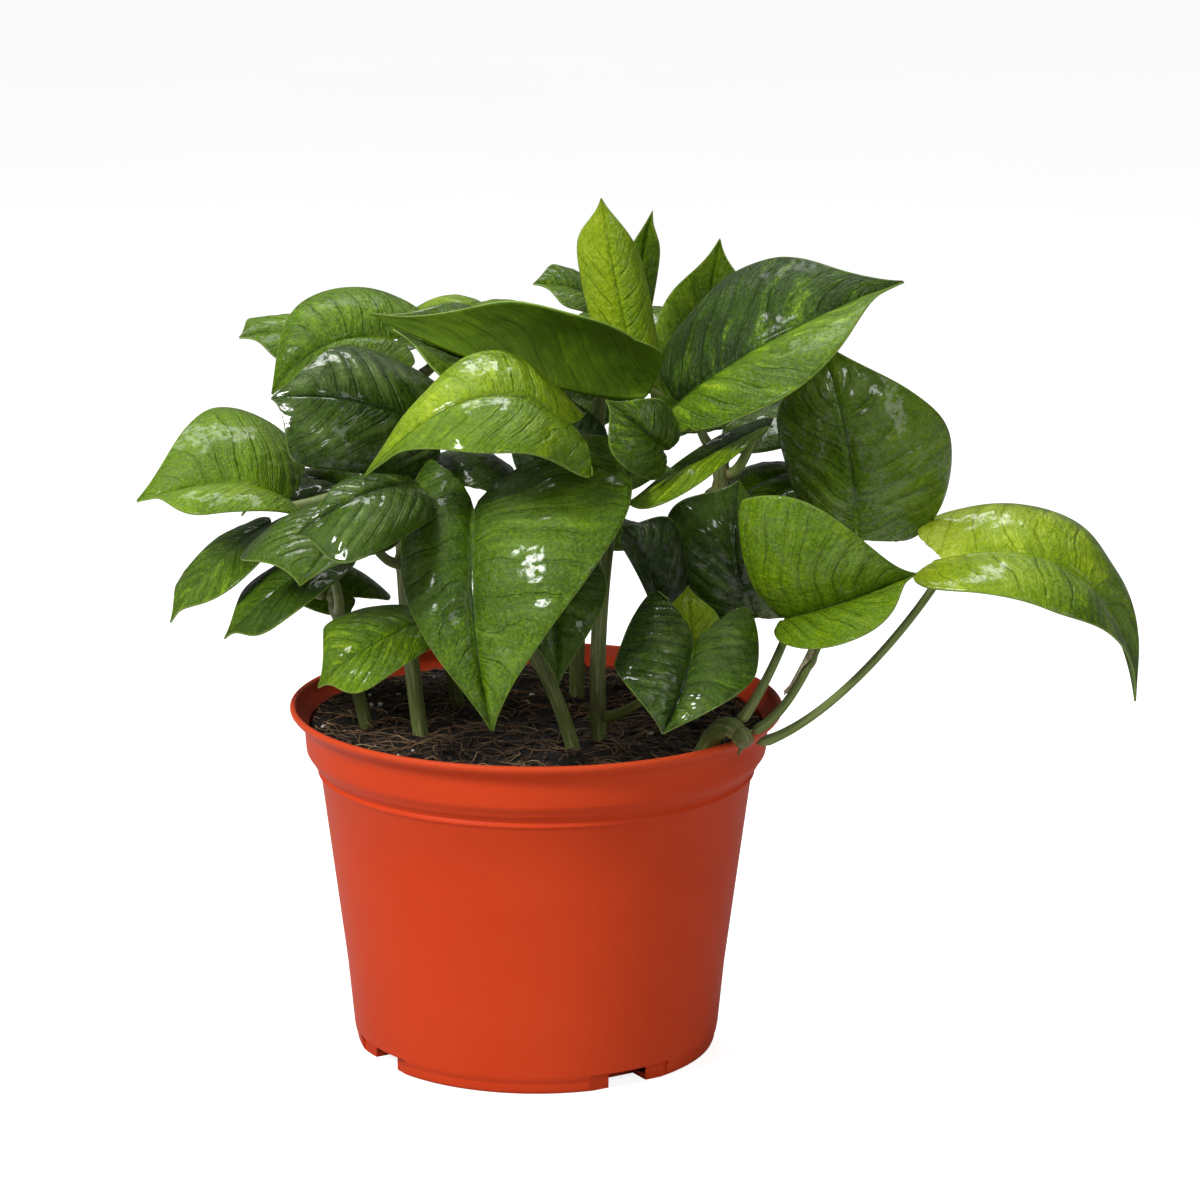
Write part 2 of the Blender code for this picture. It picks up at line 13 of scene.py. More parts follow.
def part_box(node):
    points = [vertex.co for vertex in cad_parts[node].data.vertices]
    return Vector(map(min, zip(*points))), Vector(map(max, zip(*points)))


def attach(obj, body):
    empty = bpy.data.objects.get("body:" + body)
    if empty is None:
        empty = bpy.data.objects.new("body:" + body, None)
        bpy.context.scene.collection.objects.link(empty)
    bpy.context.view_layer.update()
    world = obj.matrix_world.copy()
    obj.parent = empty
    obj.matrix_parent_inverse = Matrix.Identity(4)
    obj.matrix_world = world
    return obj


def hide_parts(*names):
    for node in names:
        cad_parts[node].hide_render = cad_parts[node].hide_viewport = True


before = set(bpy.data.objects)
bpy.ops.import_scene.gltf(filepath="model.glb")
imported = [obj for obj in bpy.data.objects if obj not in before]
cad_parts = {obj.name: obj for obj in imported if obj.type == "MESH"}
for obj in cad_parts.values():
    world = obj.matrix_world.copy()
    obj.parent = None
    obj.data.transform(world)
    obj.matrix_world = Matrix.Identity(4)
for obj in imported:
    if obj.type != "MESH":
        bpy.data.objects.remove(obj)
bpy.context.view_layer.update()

bl_info = {
    "name": "Potted Pothos Plant",
    "version": (1, 0, 0),
    "blender": (4, 5, 0),
    "location": "View3D > Sidebar > Pothos",
    "description": "Builds a potted pothos with glossy variegated leaves in a plastic nursery pot",
    "category": "Object",
}

MM = 0.001
FRONT, LEFT, RIGHT, CROWN, BACK = "front", "left", "right", "crown", "back"
Vine = namedtuple("Vine", "name radius foot middle top")
Leaf = namedtuple("Leaf", "name vine height base middle tip left right crown lobe widest inner colour")
Look = namedtuple("Look", "region base tip left right mottle quilt wave gloss")

VINES = (
    Vine("vine_centre", 2.6, (22, -30, 96), (21, -30, 158), (31, -20, 222)),
    Vine("vine_front", 2.4, (15, -38, 96), (7, -42, 128), (-8, -46, 158)),
    Vine("vine_left", 2.6, (-36, -20, 96), (-42, -26, 150), (-44, -30, 205)),
    Vine("vine_left_low", 2.2, (-54, -6, 96), (-60, -14, 128), (-68, -14, 160)),
    Vine("vine_back_left", 2.4, (-24, 16, 96), (-34, 12, 165), (-40, 6, 228)),
    Vine("vine_back", 2.6, (14, 22, 96), (16, 20, 170), (26, 12, 244)),
    Vine("vine_right", 2.6, (50, -4, 96), (56, -8, 150), (62, -10, 210)),
    Vine("vine_rim", 3.2, (50, -42, 98), (59, -52, 121.5), (68, -62, 118.5)),
)


# One row per leaf.  The rib runs from base through middle to tip; left and right are the edges at the
# widest place, seen walking from base to tip.  crown bows each half, lobe is how far each half reaches
# behind the base as a share of the rib.
EVEN = (0.12, 0.12)
HEART = (0.2, 0.2)
THIRD = (0.32, 0.32)
LIME = "leaf_lime"
FRESH = "leaf_fresh"
GREEN = "leaf_green"
DEEP = "leaf_deep"
LEAVES = (
    Leaf("leaf_front_big", "vine_centre", 0.72, (-20, -58, 196), (-20, -81, 168), (-14, -81, 129),
         (30, -70, 203), (-43, -64, 182), (0.14, 0.2), (0.12, 0.2), (0.24, 0.3), (0.85, 0.55), GREEN),
    Leaf("leaf_lime_arch", "vine_centre", 0.9, (10, -68, 226), (-20, -82, 236), (-54, -72, 209),
         (-7, -98, 222), (-5, -52, 242), EVEN, (0.14, 0.14), (0.26, 0.28), (0.8, 0.7), LIME),
    Leaf("leaf_lime_upright", "vine_centre", 0.98, (33, -10, 227), (26, -13, 260), (21, -8, 288),
         (14, -6, 265), (36, -4, 259), (0.1, 0.2), (0.05, 0.05), (0.5, 0.45), (0.42, 0.42), LIME),
    Leaf("leaf_young_behind", "vine_back", 0.94, (31, 6, 235), (34, 9, 261), (38, 5, 282),
         (28, 10, 258), (40, 9, 261), (0.1, 0.1), (0.1, 0.1), (0.4, 0.4), (0.42, 0.42), FRESH),
    Leaf("leaf_crown_right", "vine_back", 0.88, (50, 20, 214), (56, 26, 242), (61, 24, 270),
         (40, 28, 238), (70, 30, 238), (0.1, 0.1), (0.15, 0.15), THIRD, (0.42, 0.42), FRESH),
    Leaf("leaf_right_top", "vine_right", 0.96, (47, -22, 224), (76, -37, 247), (117, -36, 265),
         (66, -6, 264), (76, -64, 232), EVEN, (0.1, 0.07), THIRD, (0.42, 0.42), FRESH),
    Leaf("leaf_right_glossy", "vine_rim", 0.9, (105, -18, 177), (101, -28, 210), (92, -20, 243),
         (79, -12, 213), (136, -12, 209), (0.14, 0.14), (0.05, 0.0), (0.5, 0.5), (0.35, 0.4), GREEN),
    Leaf("leaf_right_folded", "vine_rim", 0.76, (80, -42, 156), (98, -57, 165), (121, -56, 174),
         (66, -58, 199), (98, -74, 156), (0.1, 0.1), (0.05, 0.05), (0.04, 0.35), (0.3, 0.3), GREEN),
    Leaf("leaf_far_right", "vine_rim", 1.0, (132, -28, 173), (176, -30, 168), (197, -25, 124),
         (165, -2, 185), (163, -58, 163), (0.14, 0.14), (0.0, 0.06), (0.5, 0.5), (0.3, 0.42), LIME),
    Leaf("leaf_front_heart", "vine_centre", 0.2, (50, -63, 152), (46, -74, 140), (40, -77, 127),
         (70, -71, 146), (25, -71, 149), (0.16, 0.16), (0.22, 0.45), (0.5, 0.5), (0.6, 0.62), GREEN),
    Leaf("leaf_left_big", "vine_left", 0.93, (-82, -28, 192), (-100, -34, 199), (-129, -34, 193),
         (-104, -56, 194), (-100, 8, 216), (0.12, 0.14), (0.15, 0.15), (0.5, 0.35), (0.42, 0.42), FRESH),
    Leaf("leaf_left_dark", "vine_left", 0.98, (-34, -34, 218), (-61, -50, 230), (-84, -50, 230),
         (-70, -58, 209), (-55, -22, 241), EVEN, HEART, THIRD, (0.42, 0.42), DEEP),
    Leaf("leaf_left_glossy", "vine_left", 0.85, (-39, -54, 203), (-55, -81, 205), (-75, -84, 193),
         (-50, -96, 190), (-57, -67, 208), EVEN, (0.12, 0.12), THIRD, (0.42, 0.42), GREEN),
    Leaf("leaf_left_lower", "vine_left", 0.7, (-55, -52, 192), (-64, -66, 187), (-74, -80, 176),
         (-46, -58, 183), (-93, -56, 181), (0.14, 0.14), (0.1, 0.15), (0.4, 0.4), (0.42, 0.42), GREEN),
    Leaf("leaf_left_veined", "vine_back_left", 0.97, (-47, -8, 242), (-69, -14, 241), (-86, -16, 225),
         (-62, -24, 228), (-65, 8, 256), EVEN, HEART, THIRD, (0.42, 0.42), FRESH),
    Leaf("leaf_left_pale_tip", "vine_back_left", 0.9, (-52, 20, 238), (-78, 24, 239), (-99, 22, 237),
         (-78, 12, 230), (-83, 44, 240), EVEN, HEART, THIRD, (0.42, 0.42), FRESH),
    Leaf("leaf_upper_long", "vine_centre", 0.93, (34, -32, 227), (0, -38, 234), (-53, -38, 255),
         (12, -54, 258), (-12, -12, 250), (0.1, 0.1), (0.1, 0.1), (0.35, 0.5), (0.42, 0.42), DEEP),
    Leaf("leaf_crown_back", "vine_back", 0.98, (24, 18, 248), (12, 14, 255), (-1, 10, 257),
         (12, 2, 250), (12, 32, 258), EVEN, HEART, THIRD, (0.42, 0.42), GREEN),
    Leaf("leaf_centre_round", "vine_centre", 0.87, (41, -50, 213), (34, -60, 222), (22, -58, 231),
         (27, -68, 212), (41, -53, 229), (0.14, 0.14), (0.15, 0.15), THIRD, (0.42, 0.42), DEEP),
    Leaf("leaf_centre_long", "vine_right", 0.9, (74, -18, 213), (53, -40, 207), (24, -54, 193),
         (46, -60, 201), (60, -28, 214), EVEN, (0.12, 0.12), THIRD, (0.42, 0.42), DEEP),
    Leaf("leaf_low_left", "vine_front", 0.95, (-36, -58, 158), (-52, -72, 155), (-69, -72, 141),
         (-49, -84, 146), (-66, -56, 158), (0.14, 0.14), HEART, THIRD, (0.42, 0.42), FRESH),
    Leaf("leaf_hanging_olive", "vine_left_low", 0.97, (-88, -14, 181), (-105, -24, 170), (-120, -22, 150),
         (-94, -40, 170), (-117, -8, 163), (0.1, 0.1), HEART, THIRD, (0.42, 0.42), FRESH),
    Leaf("leaf_hanging_green", "vine_left_low", 0.88, (-66, -30, 173), (-83, -42, 166), (-101, -40, 149),
         (-79, -56, 160), (-93, -26, 165), (0.1, 0.1), HEART, THIRD, (0.42, 0.42), GREEN),
    Leaf("leaf_centre_dark", "vine_right", 0.4, (40, -38, 160), (35, -46, 177), (27, -48, 188),
         (29, -51, 179), (46, -36, 184), (0.1, 0.1), (0.15, 0.15), THIRD, (0.42, 0.42), DEEP),
    Leaf("leaf_right_dark", "vine_right", 0.34, (71, -23, 153), (65, -30, 176), (66, -20, 197),
         (42, -26, 180), (96, -8, 175), EVEN, HEART, THIRD, (0.42, 0.42), DEEP),
    Leaf("leaf_front_lower", "vine_front", 0.75, (3, -50, 174), (6, -62, 160), (7, -66, 140),
         (22, -50, 171), (-10, -56, 166), (0.1, 0.1), (0.12, 0.12), THIRD, (0.42, 0.42), GREEN),
    Leaf("leaf_lime_small", "vine_right", 0.2, (53, -42, 136), (50, -46, 155), (49, -42, 167),
         (40, -42, 150), (60, -40, 152), (0.1, 0.1), HEART, THIRD, (0.42, 0.42), LIME),
    Leaf("leaf_back_low", "vine_back", 0.4, (10, 52, 162), (12, 78, 163), (14, 98, 142),
         (-20, 72, 158), (44, 72, 158), EVEN, HEART, THIRD, (0.42, 0.42), GREEN),
    Leaf("leaf_back_left_low", "vine_back_left", 0.5, (-40, 38, 172), (-62, 60, 170), (-80, 74, 148),
         (-74, 34, 164), (-34, 72, 168), EVEN, HEART, THIRD, (0.42, 0.42), FRESH),
    Leaf("leaf_back_right_low", "vine_right", 0.5, (60, 34, 168), (82, 54, 168), (100, 68, 148),
         (52, 66, 166), (90, 24, 163), EVEN, HEART, THIRD, (0.42, 0.42), FRESH),
    Leaf("leaf_back_high", "vine_back", 0.7, (4, 44, 212), (2, 68, 220), (-2, 94, 204),
         (-28, 62, 214), (32, 62, 214), EVEN, HEART, THIRD, (0.42, 0.42), FRESH),
    Leaf("leaf_back_left_high", "vine_back_left", 0.8, (-44, 34, 204), (-66, 50, 208), (-86, 62, 192),
         (-76, 24, 200), (-42, 68, 206), EVEN, HEART, THIRD, (0.42, 0.42), GREEN),
    Leaf("leaf_back_right_high", "vine_right", 0.85, (64, 28, 206), (86, 44, 210), (106, 54, 194),
         (62, 58, 208), (94, 18, 202), EVEN, HEART, THIRD, (0.42, 0.42), GREEN),
    Leaf("leaf_centre_back", "vine_centre", 0.7, (14, -14, 192), (12, -22, 210), (8, -22, 228),
         (-8, -16, 206), (23, -14, 210), (0.1, 0.1), HEART, THIRD, (0.42, 0.42), DEEP),
    Leaf("leaf_mid_back", "vine_back", 0.75, (4, -6, 228), (-20, -22, 236), (-46, -26, 248),
         (-18, -38, 228), (-20, -4, 240), (0.1, 0.1), HEART, THIRD, (0.42, 0.42), FRESH),
    Leaf("leaf_back_mid", "vine_back", 0.55, (18, 44, 186), (24, 66, 190), (28, 88, 174),
         (-4, 60, 184), (48, 60, 184), EVEN, HEART, THIRD, (0.42, 0.42), GREEN),
    Leaf("leaf_back_left_mid", "vine_back_left", 0.65, (-26, 32, 186), (-34, 58, 190), (-40, 82, 176),
         (-56, 52, 184), (-10, 62, 186), EVEN, HEART, THIRD, (0.42, 0.42), DEEP),
    Leaf("leaf_back_right_mid", "vine_right", 0.68, (70, 16, 186), (92, 28, 190), (112, 38, 176),
         (78, 50, 186), (98, 6, 184), EVEN, HEART, THIRD, (0.42, 0.42), DEEP),
    Leaf("leaf_left_side", "vine_back_left", 0.58, (-60, 14, 186), (-82, 24, 188), (-100, 32, 174),
         (-80, 0, 184), (-78, 48, 184), EVEN, HEART, THIRD, (0.42, 0.42), GREEN),
    Leaf("leaf_back_crown", "vine_back_left", 0.99, (-28, 14, 240), (-20, 32, 247), (-16, 52, 240),
         (-44, 28, 243), (4, 36, 243), EVEN, HEART, THIRD, (0.42, 0.42), GREEN),
    Leaf("leaf_back_top", "vine_back", 0.96, (30, 37, 236), (36, 54, 242), (44, 74, 230),
         (10, 56, 236), (60, 46, 236), EVEN, (0.1, 0.1), THIRD, (0.42, 0.42), FRESH),
    Leaf("leaf_low_back_left", "vine_left_low", 0.75, (-62, 10, 152), (-80, 24, 158), (-94, 34, 148),
         (-88, 6, 152), (-64, 42, 152), EVEN, HEART, THIRD, (0.42, 0.42), GREEN),
    Leaf("leaf_low_back_right", "vine_right", 0.37, (66, 14, 150), (84, 26, 154), (98, 36, 142),
         (64, 44, 150), (90, 4, 150), EVEN, HEART, THIRD, (0.42, 0.42), GREEN),
)



# Tone runs from 0 (nearly black green) to 1 (pale yellow green): at the leaf's base and tip, then what
# each half adds.  mottle is the strength of the pale patches, quilt the puffing between veins (mm),
# wave the ruffle of the edge (mm), gloss how wet the leaf looks and how strong its painted sheen is.
LOOKS = {
    "leaf_front_big": Look(FRONT, 0.33, 0.38, 0.05, -0.02, 0.35, 1.2, 1.4, 0.45),
    "leaf_lime_arch": Look(FRONT, 0.62, 0.66, -0.1, 0.02, 0.55, 0.9, 1.4, 0.75),
    "leaf_front_heart": Look(FRONT, 0.24, 0.26, 0.02, -0.04, 0.6, 1.2, 1.0, 0.85),
    "leaf_low_left": Look(FRONT, 0.46, 0.54, 0.0, -0.06, 0.75, 0.6, 1.2, 0.3),
    "leaf_front_lower": Look(FRONT, 0.24, 0.3, 0.0, 0.0, 0.2, 0.6, 0.6, 0.25),
    "leaf_lime_small": Look(FRONT, 0.66, 0.72, 0.0, 0.0, 0.2, 0.3, 0.4, 0.15),
    "leaf_left_big": Look(LEFT, 0.5, 0.58, 0.02, -0.02, 0.25, 0.5, 1.0, 0.35),
    "leaf_left_dark": Look(LEFT, 0.2, 0.26, 0.0, 0.02, 0.1, 0.9, 0.8, 1.0),
    "leaf_left_glossy": Look(LEFT, 0.26, 0.3, 0.03, 0.0, 0.25, 0.7, 0.8, 0.85),
    "leaf_left_lower": Look(LEFT, 0.28, 0.34, 0.0, 0.04, 0.3, 0.6, 1.0, 0.7),
    "leaf_left_veined": Look(LEFT, 0.44, 0.42, 0.0, 0.0, 0.35, 0.4, 0.8, 0.1),
    "leaf_left_pale_tip": Look(LEFT, 0.42, 0.46, 0.0, 0.0, 0.2, 0.3, 0.6, 0.2),
    "leaf_hanging_olive": Look(LEFT, 0.36, 0.44, 0.0, 0.0, 0.8, 0.6, 1.0, 0.2),
    "leaf_hanging_green": Look(LEFT, 0.3, 0.34, 0.0, 0.04, 0.3, 0.6, 0.8, 0.3),
    # leaf_right_top's right half is much brighter, partly its own variegation and partly painted light
    # shining through the blade.
    "leaf_right_top": Look(RIGHT, 0.17, 0.26, -0.02, 0.25, 0.9, 0.6, 1.2, 0.12),
    "leaf_right_glossy": Look(RIGHT, 0.42, 0.48, 0.0, 0.03, 0.3, 1.5, 0.9, 1.0),
    "leaf_right_folded": Look(RIGHT, 0.5, 0.56, 0.0, 0.04, 0.25, 0.9, 0.6, 0.5),
    "leaf_far_right": Look(RIGHT, 0.84, 0.3, 0.06, -0.04, 0.75, 0.6, 1.2, 0.7),
    "leaf_centre_long": Look(RIGHT, 0.2, 0.26, 0.32, -0.05, 0.8, 0.5, 0.6, 0.3),
    "leaf_centre_dark": Look(RIGHT, 0.1, 0.14, 0.0, 0.0, 0.1, 0.6, 0.6, 0.6),
    "leaf_right_dark": Look(RIGHT, 0.24, 0.28, 0.0, 0.12, 0.2, 1.0, 0.8, 1.0),
    "leaf_lime_upright": Look(CROWN, 0.72, 0.8, 0.0, -0.1, 0.25, 0.3, 0.5, 0.15),
    "leaf_young_behind": Look(CROWN, 0.4, 0.5, 0.0, 0.0, 0.2, 0.3, 0.4, 0.2),
    "leaf_crown_right": Look(CROWN, 0.42, 0.5, 0.0, 0.0, 0.4, 0.5, 0.8, 0.2),
    "leaf_upper_long": Look(CROWN, 0.28, 0.34, 0.0, 0.04, 0.35, 0.9, 0.8, 0.9),
    "leaf_crown_back": Look(CROWN, 0.34, 0.44, 0.0, 0.0, 0.4, 0.6, 0.6, 0.3),
    "leaf_centre_round": Look(CROWN, 0.28, 0.38, 0.0, 0.0, 0.9, 0.8, 0.8, 0.45),
    "leaf_centre_back": Look(CROWN, 0.14, 0.2, 0.0, 0.0, 0.2, 0.6, 0.6, 0.4),
    "leaf_mid_back": Look(CROWN, 0.38, 0.44, 0.0, 0.0, 0.3, 0.5, 0.6, 0.2),
}
BACK_LOOKS = (
    Look(BACK, 0.34, 0.42, 0.0, 0.04, 0.4, 0.9, 1.2, 0.7),
    Look(BACK, 0.5, 0.6, 0.0, -0.05, 0.7, 0.7, 1.2, 0.5),
    Look(BACK, 0.22, 0.3, 0.03, 0.0, 0.3, 1.0, 1.0, 0.9),
    Look(BACK, 0.42, 0.66, 0.05, 0.0, 0.6, 0.8, 1.4, 0.5),
)


def look_of(index, leaf):
    """The leaf's own look, or one of the back leaves' looks in turn."""
    return LOOKS.get(leaf.name, BACK_LOOKS[index % len(BACK_LOOKS)])


# ------------------------------------------------------------------ shapes
def unit(vectors):
    return vectors / np.maximum(np.linalg.norm(vectors, axis=-1, keepdims=True), 1e-12)


def smooth(value, low, high):
    """0 below low, 1 above high and a soft step between."""
    share = np.clip((value - low) / (high - low), 0.0, 1.0)
    return share * share * (3.0 - 2.0 * share)


def arc(first, middle, last, share):
    """Points and directions at shares of the smooth curve through three points."""
    share = np.asarray(share, float)[..., None]
    handle = 2.0 * middle - 0.5 * (first + last)
    rest = 1.0 - share
    points = rest * rest * first + 2.0 * rest * share * handle + share * share * last
    return points, unit(rest * (handle - first) + share * (last - handle))


def bezier(first, handle_one, handle_two, last, share):
    share = np.asarray(share, float)[..., None]
    rest = 1.0 - share
    return (rest ** 3 * first + 3.0 * rest * rest * share * handle_one
            + 3.0 * rest * share * share * handle_two + share ** 3 * last)


def outline(share, lobe, widest, inner):
    """Edge of one half: x along the rib (base 0, tip 1), y across (rib 0, widest place 1)."""
    rear, side, tip = np.array((-lobe, inner)), np.array((widest, 1.0)), np.array((1.0, 0.012))
    cut = 0.36
    back = bezier(rear, rear + (-0.3 * lobe, 0.4 * (1.0 - inner)), side - (0.55 * (widest + lobe), 0.0), side,
                  np.clip(share / cut, 0.0, 1.0))
    fore = bezier(side, side + (0.5 * (1.0 - widest), 0.0), tip + (-0.4 * (1.0 - widest), 0.26), tip,
                  np.clip((share - cut) / (1.0 - cut), 0.0, 1.0))
    return np.where((share < cut)[:, None], back, fore)


def turned(vector, start, directions):
    """The vector, turned as the start direction turns into each of the directions."""
    axis = np.cross(start, directions)
    sine = np.linalg.norm(axis, axis=-1, keepdims=True)
    cosine = np.sum(start * directions, axis=-1, keepdims=True)
    axis = axis / np.maximum(sine, 1e-12)
    along = np.sum(axis * vector, axis=-1, keepdims=True)
    return vector * cosine + np.cross(axis, vector) * sine + axis * along * (1.0 - cosine)


class Blade:
    """Curved leaf surface, in millimetres."""

    def __init__(self, leaf):
        self.leaf = leaf
        self.ends = [np.array(end, float) for end in (leaf.base, leaf.middle, leaf.tip)]
        self.length = sum(np.linalg.norm(b - a) for a, b in zip(self.ends, self.ends[1:]))

    def rib(self, share):
        points, directions = arc(*self.ends, np.clip(share, 0.0, 1.0))
        behind = np.minimum(share, 0.0)[..., None] * self.length
        return points + directions * behind, directions

    def half(self, side, along, across):
        """Points, share along the rib, distance from the rib and from the margin for one half."""
        leaf = self.leaf
        edge = outline(along, leaf.lobe[side], leaf.widest[side], leaf.inner[side])
        blend = across ** (0.55 + 0.85 * np.minimum(1.0, along / 0.3))
        share = along ** 1.15 * (1.0 - blend) + edge[:, 0] * blend
        width = edge[:, 1] * across
        points, directions = self.rib(share)
        middle, start = self.rib(np.array([leaf.widest[side]]))
        chord = np.array((leaf.left, leaf.right)[side], float) - middle[0]
        reach = np.linalg.norm(chord)
        chords = turned(chord, start[0], directions)
        normals = unit(np.cross(chords, directions)) * (-1.0, 1.0)[side]
        bow = leaf.crown[side] * reach * 4.0 * width * (1.0 - width)
        points = points + chords * width[:, None] + normals * bow[:, None]
        return points, share, width * reach, edge[:, 1] * (1.0 - across) * reach

    def surface(self, along, across):
        """Along 0 to 1 from lobe to tip, across -1 (left edge) to 1 (right edge)."""
        right = across > 0.0
        near, far = self.half(0, along, np.abs(across)), self.half(1, along, np.abs(across))
        return [np.where(right[:, None] if a.ndim == 2 else right, b, a) for a, b in zip(near, far)]

    def face(self):
        """Direction the upper face looks in at the base."""
        direction = self.rib(np.zeros(1))[1][0]
        return unit(np.cross(direction, np.array(self.leaf.left, float) - np.array(self.leaf.right, float)))


# ------------------------------------------------------------ mesh helpers
def deselect():
    bpy.ops.object.select_all(action='DESELECT')


def active(obj):
    """Makes the object the only selected one and the active one."""
    deselect()
    obj.select_set(True)
    bpy.context.view_layer.objects.active = obj
    return obj


def new_grid(name, columns, rows):
    """A flat grid, columns by rows of faces, named and selected."""
    deselect()
    bpy.ops.mesh.primitive_grid_add(x_subdivisions=columns, y_subdivisions=rows, size=1.0)
    obj = bpy.context.active_object
    obj.name = obj.data.name = name
    return obj


def grid_place(obj):
    """Each vertex's share of the grid's length (X) and its place across it (Y, -1 to 1)."""
    flat = np.empty(3 * len(obj.data.vertices))
    obj.data.vertices.foreach_get("co", flat)
    flat = flat.reshape(-1, 3)
    return np.clip(flat[:, 0] + 0.5, 0.0, 1.0), np.clip(-2.0 * flat[:, 1], -1.0, 1.0)


def move_points(obj, points):
    """Sets the vertices to points given in millimetres."""
    obj.data.vertices.foreach_set("co", (points * MM).ravel())
    obj.data.update()


def store(obj, name, values):
    """A vector attribute on the points, for the materials."""
    attribute = obj.data.attributes.new(name, 'FLOAT_VECTOR', 'POINT')
    attribute.data.foreach_set("vector", np.asarray(values, float).ravel())


def apply_modifiers(obj):
    """Applies the object's modifiers from first to last."""
    active(obj)
    for modifier in list(obj.modifiers):
        bpy.ops.object.modifier_apply(modifier=modifier.name)


def shade(obj, angle=None):
    """Shades smooth, or flat across edges sharper than the angle in degrees."""
    active(obj)
    if angle is None:
        bpy.ops.object.shade_smooth()
    else:
        bpy.ops.object.shade_smooth_by_angle(angle=math.radians(angle))


def outward(obj, merge=0.0):
    """Merges doubles closer than merge (mm) and turns every face outwards."""
    active(obj)
    bpy.ops.object.mode_set(mode='EDIT')
    bpy.ops.mesh.select_all(action='SELECT')
    if merge:
        bpy.ops.mesh.remove_doubles(threshold=merge * MM)
    bpy.ops.mesh.normals_make_consistent(inside=False)
    bpy.ops.object.mode_set(mode='OBJECT')


def join(first, *others):
    """Joins the others into the first object, which keeps its name."""
    active(first)
    for other in others:
        other.select_set(True)
    bpy.ops.object.join()
    return first


def finish(obj, slot, *nodes):
    """Hangs a piece on the plant's body and puts it in place of the CAD nodes it stands for."""
    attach(obj, "root")
    if nodes:
        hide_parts(*nodes)
    return obj


def rolled_tube(name, path, radii, sides, material, ridge=0.0, rings=None):
    """A closed round stem: a flat grid rolled round the path; rings marks where its joints are, 0 to 1."""
    steps = len(path) - 1
    obj = new_grid(name, steps, sides)
    share, across = grid_place(obj)
    index = np.rint(share * steps).astype(int)
    tangents = unit(np.gradient(path, axis=0))
    side = unit(np.cross(tangents[0], (0.31, -0.52, 0.79)))
    sides_at = np.array([unit(turned(side, tangents[0], t[None])[0]) for t in tangents])
    ups_at = np.cross(tangents, sides_at)
    angle = across * math.pi
    radius = radii[index] * (1.0 + ridge * np.sin(5.0 * angle))
    points = (path[index] + sides_at[index] * (radius * np.cos(angle))[:, None]
              + ups_at[index] * (radius * np.sin(angle))[:, None])
    move_points(obj, points)
    lengths = np.concatenate(([0.0], np.cumsum(np.linalg.norm(np.diff(path, axis=0), axis=1))))
    store(obj, "stem", np.stack((lengths[index], np.cos(angle), np.sin(angle)), axis=-1))
    marks = np.zeros(steps + 1) if rings is None else rings
    store(obj, "joint", np.stack((marks[index], marks[index], marks[index]), axis=-1))
    outward(obj, 0.004)
    obj.data.materials.append(material)
    for face in obj.data.polygons:
        face.use_smooth = True
    return obj


def pointed(radii, cap=3):
    """Rounds off both ends of a row of radii."""
    radii = np.array(radii, float)
    for step in range(cap):
        factor = math.sin(0.5 * math.pi * step / cap)
        radii[step] *= factor
        radii[-1 - step] *= factor
    return radii


def noise_at(points, scale, seed):
    """Smooth noise between about -1 and 1 at each point, for features of the given size in mm."""
    offset = Vector((seed * 7.31, seed * 3.17, seed * 5.53))
    return np.array([noise.noise(Vector(point) / scale + offset) for point in points])


# ------------------------------------------------------------------ leaves
VEINS = 8.5
BLADE_COLUMNS = 84
BLADE_ROWS = 48
STALK_STEPS = 40


def vein_phase(share, across):
    """Which side vein a point lies on: the veins leave the rib and sweep towards the tip."""
    return VEINS * (share - 0.2 * across ** 1.3)


def stalk_line(leaf, blade):
    """The middle line of a leaf's stalk, as a function of the share of its way, and its length."""
    vine = next(vine for vine in VINES if vine.name == leaf.vine)
    ends = [np.array(end, float) for end in (vine.foot, vine.middle, vine.top)]
    node, growth = (a[0] for a in arc(*ends, np.array([leaf.height])))
    base = blade.ends[0]
    forward = blade.rib(np.zeros(1))[1][0]
    away = base - node
    away = unit(away - growth * (away @ growth))
    start = node + away * (vine.radius - 0.5)
    end = base + forward * 3.0 - blade.face() * 0.35
    reach = np.linalg.norm(end - start)
    arrival = unit(0.5 * forward + 0.8 * blade.face())
    leave = start + unit(away + 0.2 * growth) * 0.3 * reach
    approach = end - arrival * min(0.35 * reach, 14.0)
    return lambda share: (bezier(start, leave, approach, end, share), reach)


def leaf_stalk(leaf, blade, material):
    """A leaf's stalk, thicker where it leaves the vine and thin where it runs into the blade."""
    share = np.linspace(0.0, 1.0, STALK_STEPS + 1)
    path, reach = stalk_line(leaf, blade)(share)
    radii = 1.35 + 0.75 * np.exp(-share * reach / 9.0) + 0.25 * smooth(share, 0.9, 0.97)
    radii -= 0.9 * smooth(share, 0.965, 1.0)
    rings = np.exp(-(share * reach / 3.0) ** 2)
    return rolled_tube(leaf.name + "_stalk", path, pointed(radii, 2), 12, material, 0.03, rings)


